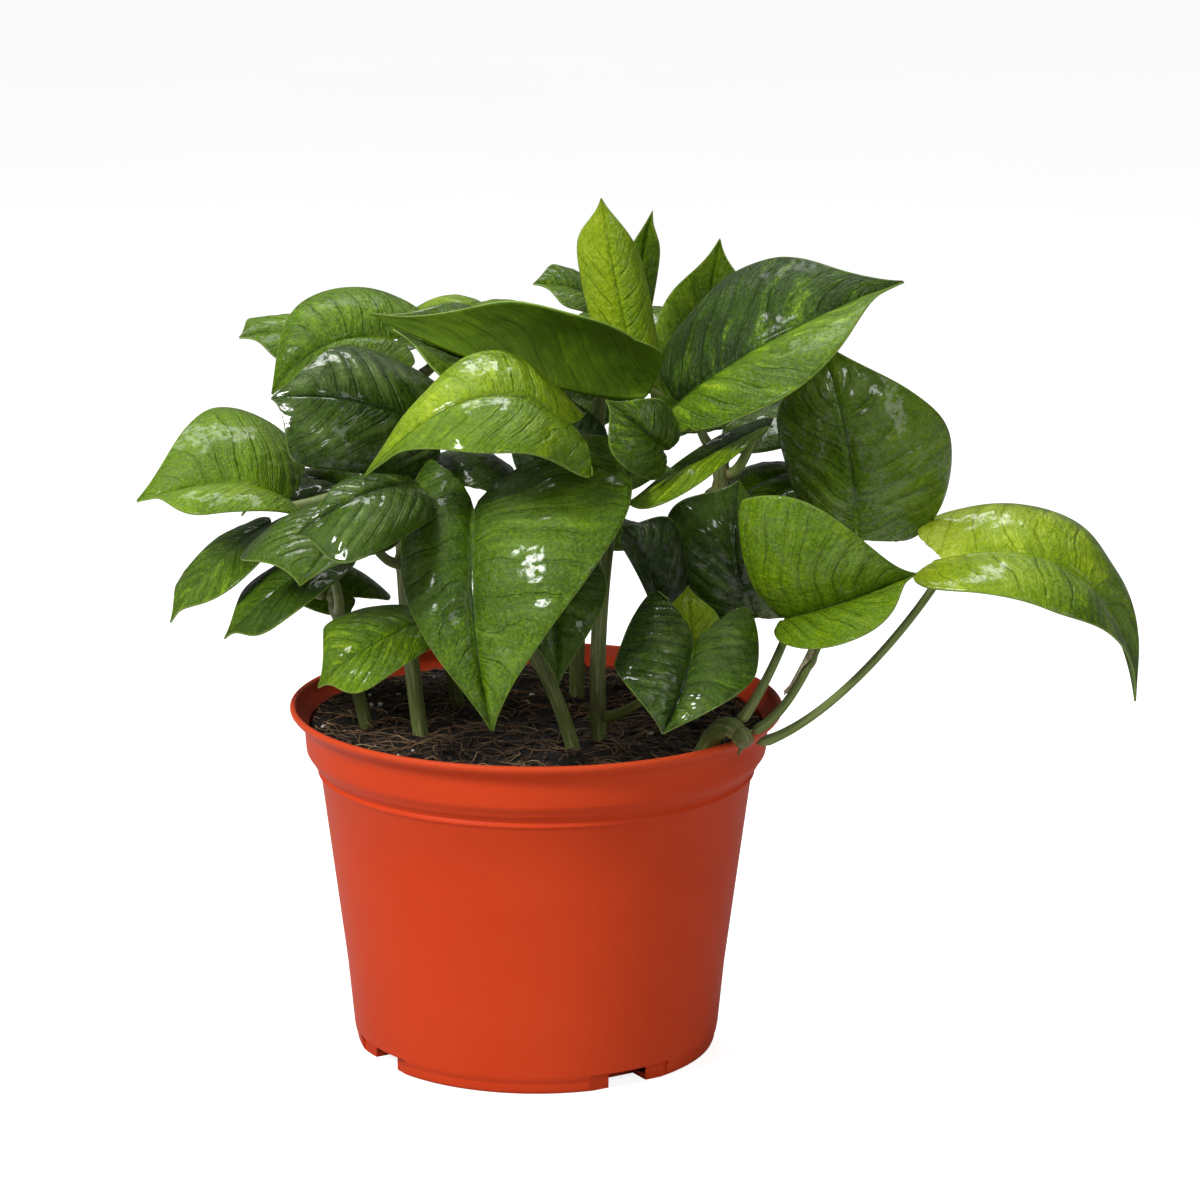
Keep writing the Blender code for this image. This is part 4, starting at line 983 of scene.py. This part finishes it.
def build_soil():
    """The potting mix: turned to the pot's inside, with a top of fine rings that is lifted into lumps."""
    wall = [(0.4, 2.2), (46.0, 2.2), (52.0, 9.8), (59.2, 11.6), (70.3, 94.2), (73.6, 101.2),
            (SOIL_RADIUS, 109.8)]
    top = [(SOIL_RADIUS - 0.85 * step, SOIL_TOP) for step in range(1, 88)]
    rings = wall + top + [(0.5, SOIL_TOP)]
    soil = turned_body("potting_soil", rings, 190)
    for vert in soil.data.vertices:
        if vert.co.z > 109.0 * MM and math.hypot(vert.co.x, vert.co.y) < 75.4 * MM:
            vert.co.z = soil_level(vert.co.x / MM, vert.co.y / MM) * MM
    shade(soil)
    soil.data.materials.clear()
    soil.data.materials.append(potting_mix())
    return finish(soil, "soil", "soil")


def fibre_skin(name, dark, light):
    """Dry plant fibre, lighter along some strands than others."""
    material, tree, shader = new_material(name, IOR=1.4)
    place = position(tree)
    tone = pattern(tree, place, 160.0, 4.0, 0.6)
    skin = ramp(tree, tone, ((0.3, dark), (0.7, light)))
    tree.links.new(skin, shader["Base Color"])
    tree.links.new(calc(tree, 'MULTIPLY_ADD', tone, 0.3, 0.55), shader["Roughness"])
    relief(tree, shader["Normal"], pattern(tree, place, 1800.0, 2.0), 0.0002, 0.8)
    return material


def copies(source, count, place):
    """Copies of the source, each moved into place by place(copy, index), joined into the source."""
    others = []
    for index in range(1, count):
        other = source.copy()
        other.data = source.data.copy()
        bpy.context.scene.collection.objects.link(other)
        place(other, index)
        others.append(other)
    place(source, 0)
    return join(source, *others)


def build_fibres(name, count, length, radius, material, seed, lift):
    """Thin bent fibres lying over the potting mix."""
    chance = random.Random(seed)
    strands = []
    for index in range(count):
        turn, reach = chance.uniform(0.0, 2.0 * math.pi), 73.5 * math.sqrt(chance.random())
        heading, bend = chance.uniform(0.0, 2.0 * math.pi), chance.uniform(-1.3, 1.3)
        span = length * chance.uniform(0.5, 1.4)
        hop = chance.uniform(0.2, 1.0) * lift
        path = []
        x, y = reach * math.cos(turn), reach * math.sin(turn)
        for step in range(7):
            share = step / 6.0
            if math.hypot(x, y) > LITTER_REACH:
                x, y = x * LITTER_REACH / math.hypot(x, y), y * LITTER_REACH / math.hypot(x, y)
            path.append((x, y, soil_level(x, y) + radius + hop * math.sin(math.pi * share)))
            way = heading + bend * (share - 0.5) + 0.4 * math.sin(5.0 * share + index)
            x, y = x + math.cos(way) * span / 6.0, y + math.sin(way) * span / 6.0
        radii = radius * np.array((0.1, 0.8, 1.0, 1.0, 0.9, 0.7, 0.1)) * chance.uniform(0.6, 1.3)
        strands.append((np.array(path), radii))
    deselect()
    mesh = bpy.data.meshes.new(name)
    builder = bmesh.new()
    for path, radii in strands:
        tangents = unit(np.gradient(path, axis=0))
        sides = unit(np.cross(tangents, (0.0, 0.0, 1.0)))
        ups = np.cross(sides, tangents)
        loops = []
        for point, side, up, width in zip(path, sides, ups, radii):
            corners = [point + (side * math.cos(a) + up * math.sin(a)) * width
                       for a in (0.0, 1.57, 3.14, 4.71)]
            loops.append([builder.verts.new(tuple(corner * MM)) for corner in corners])
        for low, high in zip(loops, loops[1:]):
            for a, b, c, d in zip(low, low[1:] + low[:1], high[1:] + high[:1], high):
                builder.faces.new((a, b, c, d))
        builder.faces.new(loops[0][::-1])
        builder.faces.new(loops[-1])
    bmesh.ops.recalc_face_normals(builder, faces=builder.faces)
    builder.to_mesh(mesh)
    builder.free()
    obj = bpy.data.objects.new(name, mesh)
    bpy.context.scene.collection.objects.link(obj)
    for face in mesh.polygons:
        face.use_smooth = True
    mesh.materials.append(material)
    return finish(obj, "soil")


def build_crumbs(name, count, size, material, seed):
    """Crumbs of peat, bark or mineral lying on the potting mix, squashed and turned at random."""
    chance = random.Random(seed)
    deselect()
    bpy.ops.mesh.primitive_ico_sphere_add(subdivisions=1, radius=MM)
    crumb = bpy.context.active_object
    crumb.name = crumb.data.name = name
    crumb.data.materials.append(material)

    def place(obj, index):
        turn, reach = chance.uniform(0.0, 2.0 * math.pi), 74.0 * math.sqrt(chance.random())
        x, y = reach * math.cos(turn), reach * math.sin(turn)
        big = size * chance.uniform(0.5, 1.5)
        stretch = Vector((big * chance.uniform(0.7, 1.5), big * chance.uniform(0.6, 1.0),
                          big * chance.uniform(0.4, 0.8)))
        heading = chance.uniform(0.0, 6.3)
        for vert in obj.data.vertices:
            wobble = 1.0 + chance.uniform(-0.25, 0.25)
            flat = Vector(vert.co[i] * stretch[i] * wobble for i in range(3))
            vert.co = (flat.x * math.cos(heading) - flat.y * math.sin(heading) + x * MM,
                       flat.x * math.sin(heading) + flat.y * math.cos(heading) + y * MM,
                       flat.z + (soil_level(x, y) + 0.25 * big) * MM)

    copies(crumb, count, place)
    return finish(crumb, "soil")


# ------------------------------------------------------------------- vines
VINE_STEPS = 110


def build_vine(vine, materials):
    """One vine with a swollen, ringed joint under each leaf stalk and small root buds."""
    ends = [np.array(end, float) for end in (vine.foot, vine.middle, vine.top)]
    share = np.linspace(0.0, 1.0, VINE_STEPS + 1)
    path = arc(*ends, share)[0]
    length = np.linalg.norm(np.diff(path, axis=0), axis=1).sum()
    radii = vine.radius * (1.0 - 0.2 * share ** 3)
    rings = np.zeros(VINE_STEPS + 1)
    for leaf in LEAVES:
        if leaf.vine == vine.name:
            away = (share - leaf.height) * length
            radii += 0.55 * np.exp(-(away / 2.6) ** 2) - 0.3 * np.exp(-((away - 3.4) / 0.6) ** 2)
            rings = np.maximum(rings, np.exp(-((away - 3.0) / 1.6) ** 2))
    body = rolled_tube(vine.name + "_stem", path, pointed(radii, 4), 18, materials["stem_skin"], 0.02, rings)
    buds = []
    for order, leaf in enumerate(leaf for leaf in LEAVES if leaf.vine == vine.name):
        point, growth = (a[0] for a in arc(*ends, np.array([min(leaf.height, 0.97)])))
        lean = unit(np.cross(growth, (math.sin(2.1 * order), math.cos(2.1 * order), 0.3)))
        hook = np.linspace(0.0, 1.0, 9)[:, None]
        root = point + lean * (vine.radius * 0.6 + 3.4 * hook) - np.array((0.0, 0.0, 1.1)) * hook ** 2
        thin = 0.75 * (1.0 - 0.45 * hook[:, 0])
        buds.append(rolled_tube(vine.name + "_bud", root, pointed(thin, 2), 8, materials["stem_skin"], 0.0,
                                np.full(9, 0.8)))
    join(body, *buds)
    return finish(body, "vine", vine.name)


def sheath_skin():
    """The dry, papery remains of a leaf sheath."""
    material, tree, shader = new_material("dry_sheath", IOR=1.4)
    streak = add_node(tree, 'ShaderNodeMapping',
                      {0: position(tree), "Scale": (900.0, 900.0, 120.0)}).outputs[0]
    tone = pattern(tree, streak, 1.0, 4.0, 0.6)
    skin = ramp(tree, tone, ((0.3, (0.28, 0.2, 0.11)), (0.5, (0.55, 0.46, 0.3)), (0.72, (0.78, 0.72, 0.56))))
    tree.links.new(skin, shader["Base Color"])
    tree.links.new(calc(tree, 'MULTIPLY_ADD', tone, 0.25, 0.5), shader["Roughness"])
    relief(tree, shader["Normal"], tone, 0.0003, 0.9)
    return material


def build_sheath(leaf_name, first, last):
    """A thin dry sheath wrapped round the outer side of a leaf's stalk."""
    leaf = next(leaf for leaf in LEAVES if leaf.name == leaf_name)
    blade = Blade(leaf)
    path = stalk_line(leaf, blade)(np.linspace(first, last, STALK_STEPS + 1))[0]
    obj = new_grid(leaf_name + "_sheath", STALK_STEPS, 14)
    share, across = grid_place(obj)
    index = np.rint(share * STALK_STEPS).astype(int)
    tangents = unit(np.gradient(path, axis=0))
    sides = unit(np.cross(tangents, (0.0, 1.0, 0.0)))
    ups = np.cross(sides, tangents)
    reach = 1.15 * np.sin(math.pi * np.clip(share, 0.02, 0.97)) ** 0.5 * (1.0 + 0.15 * np.sin(23.0 * share))
    angle = across * reach * 1.5 + 0.6
    radius = 2.35 + 0.55 * np.abs(across) ** 2 + 0.35 * np.sin(9.0 * share + 3.0 * across) * np.abs(across)
    move_points(obj, path[index] + sides[index] * (radius * np.cos(angle))[:, None]
                + ups[index] * (radius * np.sin(angle))[:, None])
    shell = obj.modifiers.new("thickness", 'SOLIDIFY')
    shell.thickness = 0.25 * MM
    shell.offset = 1.0
    shade(obj)
    apply_modifiers(obj)
    obj.data.materials.append(sheath_skin())
    return finish(obj, "vine")


# ---------------------------------------------------------------- settings
class PothosSizes(bpy.types.PropertyGroup):
    """Sizes a grower or modeller would change."""
    pot_height: bpy.props.FloatProperty(name="Pot Height", description="Height of the pot",
                                        default=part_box("pot")[1][2], min=0.05, subtype='DISTANCE',
                                        unit='LENGTH')
    lip_radius: bpy.props.FloatProperty(name="Lip Radius", description="Outer radius of the pot's lip",
                                        default=0.0825, min=0.05, subtype='DISTANCE', unit='LENGTH')
    wall: bpy.props.FloatProperty(name="Pot Wall", description="Thickness of the pot's wall", default=0.0013,
                                  min=0.0005, subtype='DISTANCE', unit='LENGTH')
    thickness: bpy.props.FloatProperty(name="Leaf Thickness", description="Thickness of a leaf blade",
                                       default=0.00055, min=0.0002, subtype='DISTANCE', unit='LENGTH')
    quilting: bpy.props.FloatProperty(name="Quilting",
                                      description="How far blades puff up between their veins",
                                      default=0.55, min=0.0, max=2.0, subtype='FACTOR')
    ruffle: bpy.props.FloatProperty(name="Ruffle", description="How far the edges of blades wave",
                                    default=1.0, min=0.0, max=2.0, subtype='FACTOR')
    fibres: bpy.props.IntProperty(name="Fibres", description="Number of dry fibres on the soil", default=520,
                                  min=0, max=3000)


class PothosColours(bpy.types.PropertyGroup):
    """Colours of the pot and of the plant's pale lines; two of them also paint highlights, on the pot's lip
    and on the leaf edges.
    """
    pot: bpy.props.FloatVectorProperty(name="Pot", description="Main colour of the plastic",
                                       default=(0.60, 0.050, 0.011), subtype='COLOR', min=0.0, max=1.0)
    pot_deep: bpy.props.FloatVectorProperty(name="Pot Deep", description="Deeper flow marks in the plastic",
                                            default=(0.53, 0.040, 0.008), subtype='COLOR', min=0.0, max=1.0)
    # Also the colour of the painted highlight along the pot's lip.
    pot_pale: bpy.props.FloatVectorProperty(name="Pot Pale", description="Rubbed and paler plastic",
                                            default=(0.72, 0.115, 0.035), subtype='COLOR', min=0.0, max=1.0)
    # Also the colour of the painted highlight along the leaf edges.
    vein: bpy.props.FloatVectorProperty(name="Leaf Lines", description="Midribs and leaf edges",
                                        default=(0.24, 0.34, 0.05), subtype='COLOR', min=0.0, max=1.0)


class PothosStage(bpy.types.PropertyGroup):
    """Camera and light."""
    distance: bpy.props.FloatProperty(name="Distance", description="From the camera to the plant",
                                      default=1.4, min=0.3, subtype='DISTANCE', unit='LENGTH')
    elevation: bpy.props.FloatProperty(name="Elevation", description="Angle that the camera looks down at",
                                       default=math.radians(13.4), subtype='ANGLE', unit='ROTATION')
    aim: bpy.props.FloatProperty(name="Aim", description="Height that the camera looks at", default=0.1523,
                                 subtype='DISTANCE', unit='LENGTH')
    light: bpy.props.FloatProperty(name="Light", description="Strength of the softboxes", default=1.0,
                                   min=0.0, max=5.0, subtype='FACTOR')


# --------------------------------------------------------------- operators
class POTHOS_OT_pot(bpy.types.Operator):
    """Turn the nursery pot and cut its foot slots"""
    bl_idname = "pothos.pot"
    bl_label = "Nursery Pot"
    bl_options = {'REGISTER', 'UNDO'}

    def execute(self, context):
        build_pot(context.scene.pothos_sizes, context.scene.pothos_colours)
        return {'FINISHED'}


class POTHOS_OT_soil(bpy.types.Operator):
    """Fill the pot with potting mix"""
    bl_idname = "pothos.soil"
    bl_label = "Potting Soil"
    bl_options = {'REGISTER', 'UNDO'}

    def execute(self, context):
        build_soil()
        return {'FINISHED'}


class POTHOS_OT_litter(bpy.types.Operator):
    """Scatter fibres, crumbs and mineral grains over the potting mix"""
    bl_idname = "pothos.litter"
    bl_label = "Soil Litter"
    bl_options = {'REGISTER', 'UNDO'}

    def execute(self, context):
        count = context.scene.pothos_sizes.fibres
        brown = fibre_skin("coir_fibre", (0.055, 0.03, 0.015), (0.2, 0.115, 0.055))
        straw = fibre_skin("straw_fibre", (0.2, 0.13, 0.06), (0.42, 0.3, 0.16))
        peat = fibre_skin("peat_crumb", (0.012, 0.007, 0.004), (0.075, 0.04, 0.02))
        grain = fibre_skin("mineral_grain", (0.42, 0.39, 0.33), (0.72, 0.69, 0.62))
        build_fibres("coir_fibres", count, 17.0, 0.24, brown, 3, 1.6)
        build_fibres("straw_fibres", count // 5, 12.0, 0.2, straw, 8, 1.8)
        build_crumbs("peat_crumbs", 900, 1.0, peat, 5)
        build_crumbs("mineral_grains", 34, 0.8, grain, 11)
        return {'FINISHED'}


class POTHOS_OT_vines(bpy.types.Operator):
    """Grow the vines with their joints and root buds"""
    bl_idname = "pothos.vines"
    bl_label = "Vines"
    bl_options = {'REGISTER', 'UNDO'}

    def execute(self, context):
        materials = leaf_materials(context.scene.pothos_colours)
        for vine in VINES:
            build_vine(vine, materials)
        return {'FINISHED'}


class POTHOS_OT_sheath(bpy.types.Operator):
    """Wrap the dry sheath round a stalk at the rim"""
    bl_idname = "pothos.sheath"
    bl_label = "Dry Sheath"
    bl_options = {'REGISTER', 'UNDO'}

    def execute(self, context):
        build_sheath("leaf_right_glossy", 0.22, 0.62)
        return {'FINISHED'}


class LeafRegion:
    """Shared by the operators that build one region's leaves."""
    bl_options = {'REGISTER', 'UNDO'}
    region = FRONT

    def execute(self, context):
        materials = leaf_materials(context.scene.pothos_colours)
        for index, leaf in enumerate(LEAVES):
            if look_of(index, leaf).region == self.region:
                build_leaf(index, leaf, context.scene.pothos_sizes, materials)
        return {'FINISHED'}


class POTHOS_OT_front_leaves(LeafRegion, bpy.types.Operator):
    """Shape the leaves that hang over the pot's front"""
    bl_idname = "pothos.front_leaves"
    bl_label = "Front Leaves"
    region = FRONT


class POTHOS_OT_left_leaves(LeafRegion, bpy.types.Operator):
    """Shape the leaves that spread to the left"""
    bl_idname = "pothos.left_leaves"
    bl_label = "Left Leaves"
    region = LEFT


class POTHOS_OT_right_leaves(LeafRegion, bpy.types.Operator):
    """Shape the leaves that spread to the right"""
    bl_idname = "pothos.right_leaves"
    bl_label = "Right Leaves"
    region = RIGHT


class POTHOS_OT_crown_leaves(LeafRegion, bpy.types.Operator):
    """Shape the leaves of the crown"""
    bl_idname = "pothos.crown_leaves"
    bl_label = "Crown Leaves"
    region = CROWN


class POTHOS_OT_back_leaves(LeafRegion, bpy.types.Operator):
    """Shape the leaves behind the vines"""
    bl_idname = "pothos.back_leaves"
    bl_label = "Back Leaves"
    region = BACK


class POTHOS_OT_stage(bpy.types.Operator):
    """Set up the pale floor, the soft light and the camera"""
    bl_idname = "pothos.stage"
    bl_label = "Stage"
    bl_options = {'REGISTER', 'UNDO'}

    def execute(self, context):
        build_stage(context.scene, context.scene.pothos_stage)
        return {'FINISHED'}


STEPS = ("pot", "soil", "litter", "vines", "sheath", "front_leaves", "left_leaves", "right_leaves",
         "crown_leaves", "back_leaves", "stage")


class POTHOS_PT_panel(bpy.types.Panel):
    """The plant's pieces, sizes and colours"""
    bl_idname = "POTHOS_PT_panel"
    bl_label = "Potted Pothos"
    bl_space_type = 'VIEW_3D'
    bl_region_type = 'UI'
    bl_category = "Pothos"

    def draw(self, context):
        scene = context.scene
        for group in (scene.pothos_sizes, scene.pothos_colours, scene.pothos_stage):
            box = self.layout.box()
            for name in group.bl_rna.properties.keys():
                if name not in {"rna_type", "name"}:
                    box.prop(group, name)
        for step in STEPS:
            self.layout.operator("pothos." + step)


# ------------------------------------------------------------------- stage
FLOOR_GLOW = (0.85, 0.85, 0.85, 1.0)


def stage_floor_material():
    """A matt pale floor that glows only where it is seen straight on, so that it closes with the world."""
    material, tree, shader = new_material("studio_floor")
    tone = pattern(tree, position(tree), 3.0, 2.0)
    tree.links.new(ramp(tree, tone, ((0.3, (0.5, 0.5, 0.495)), (0.7, (0.54, 0.54, 0.535)))),
                   shader["Base Color"])
    tree.links.new(calc(tree, 'MULTIPLY_ADD', tone, 0.1, 0.6), shader["Roughness"])
    shader["Emission Strength"].default_value = 1.0
    seen = add_node(tree, 'ShaderNodeLightPath').outputs["Is Camera Ray"]
    tree.links.new(blend(tree, seen, (0.0, 0.0, 0.0, 1.0), FLOOR_GLOW), shader["Emission Color"])
    return material


def softbox(name, place, aim, size, power):
    """A white rectangular area lamp at the place (m), turned to the aim."""
    lamp = bpy.data.lights.new(name, 'AREA')
    lamp.shape = 'RECTANGLE'
    lamp.size, lamp.size_y = size
    lamp.energy = power
    obj = bpy.data.objects.new(name, lamp)
    bpy.context.scene.collection.objects.link(obj)
    obj.location = place
    obj.rotation_euler = (Vector(aim) - Vector(place)).to_track_quat('-Z', 'Y').to_euler()


def build_stage(scene, stage):
    deselect()
    bpy.ops.mesh.primitive_plane_add(size=8.0, location=(0.0, 0.0, 0.0))
    floor = bpy.context.active_object
    floor.name = "studio_floor"
    floor.data.materials.append(stage_floor_material())
    world = bpy.data.worlds.new("studio_world")
    world.use_nodes = True
    tree = world.node_tree
    seen = add_node(tree, 'ShaderNodeLightPath').outputs["Is Camera Ray"]
    tree.links.new(ease(tree, seen, 0.0, 1.0, 0.17, 1.0), tree.nodes["Background"].inputs["Strength"])
    tree.nodes["Background"].inputs["Color"].default_value = (1.0, 1.0, 1.0, 1.0)
    scene.world = world
    power = stage.light
    softbox("key_softbox", (-0.85, -0.8, 1.0), (0.0, 0.0, 0.16), (0.36, 0.36), 20.0 * power)
    softbox("fill_softbox", (1.0, -0.9, 0.6), (0.0, 0.0, 0.15), (0.6, 0.8), 2.6 * power)
    softbox("front_softbox", (0.3, -1.5, 0.95), (0.0, 0.0, 0.15), (0.5, 0.3), 4.0 * power)
    softbox("top_softbox", (-0.1, 0.5, 1.2), (0.0, 0.0, 0.2), (0.8, 0.5), 10.0 * power)
    lens = bpy.data.cameras.new("camera")
    lens.lens = 126.0
    lens.sensor_width = 36.0
    lens.shift_x = 0.0531
    lens.clip_start = 0.05
    camera = bpy.data.objects.new("camera", lens)
    scene.collection.objects.link(camera)
    lean = stage.elevation
    camera.location = (0.0, -stage.distance * math.cos(lean), stage.aim + stage.distance * math.sin(lean))
    camera.rotation_euler = (math.pi / 2.0 - lean, 0.0, 0.0)
    scene.camera = camera
    scene.view_settings.view_transform = 'Standard'


CLASSES = (PothosSizes, PothosColours, PothosStage, POTHOS_OT_pot, POTHOS_OT_soil, POTHOS_OT_litter,
           POTHOS_OT_vines, POTHOS_OT_sheath, POTHOS_OT_front_leaves, POTHOS_OT_left_leaves,
           POTHOS_OT_right_leaves, POTHOS_OT_crown_leaves, POTHOS_OT_back_leaves, POTHOS_OT_stage,
           POTHOS_PT_panel)


def register():
    for cls in CLASSES:
        bpy.utils.register_class(cls)
    bpy.types.Scene.pothos_sizes = bpy.props.PointerProperty(type=PothosSizes)
    bpy.types.Scene.pothos_colours = bpy.props.PointerProperty(type=PothosColours)
    bpy.types.Scene.pothos_stage = bpy.props.PointerProperty(type=PothosStage)


def unregister():
    del bpy.types.Scene.pothos_stage
    del bpy.types.Scene.pothos_colours
    del bpy.types.Scene.pothos_sizes
    for cls in reversed(CLASSES):
        bpy.utils.unregister_class(cls)


def main():
    register()
    for step in STEPS:
        getattr(bpy.ops.pothos, step)()


if __name__ == "__main__":
    main()
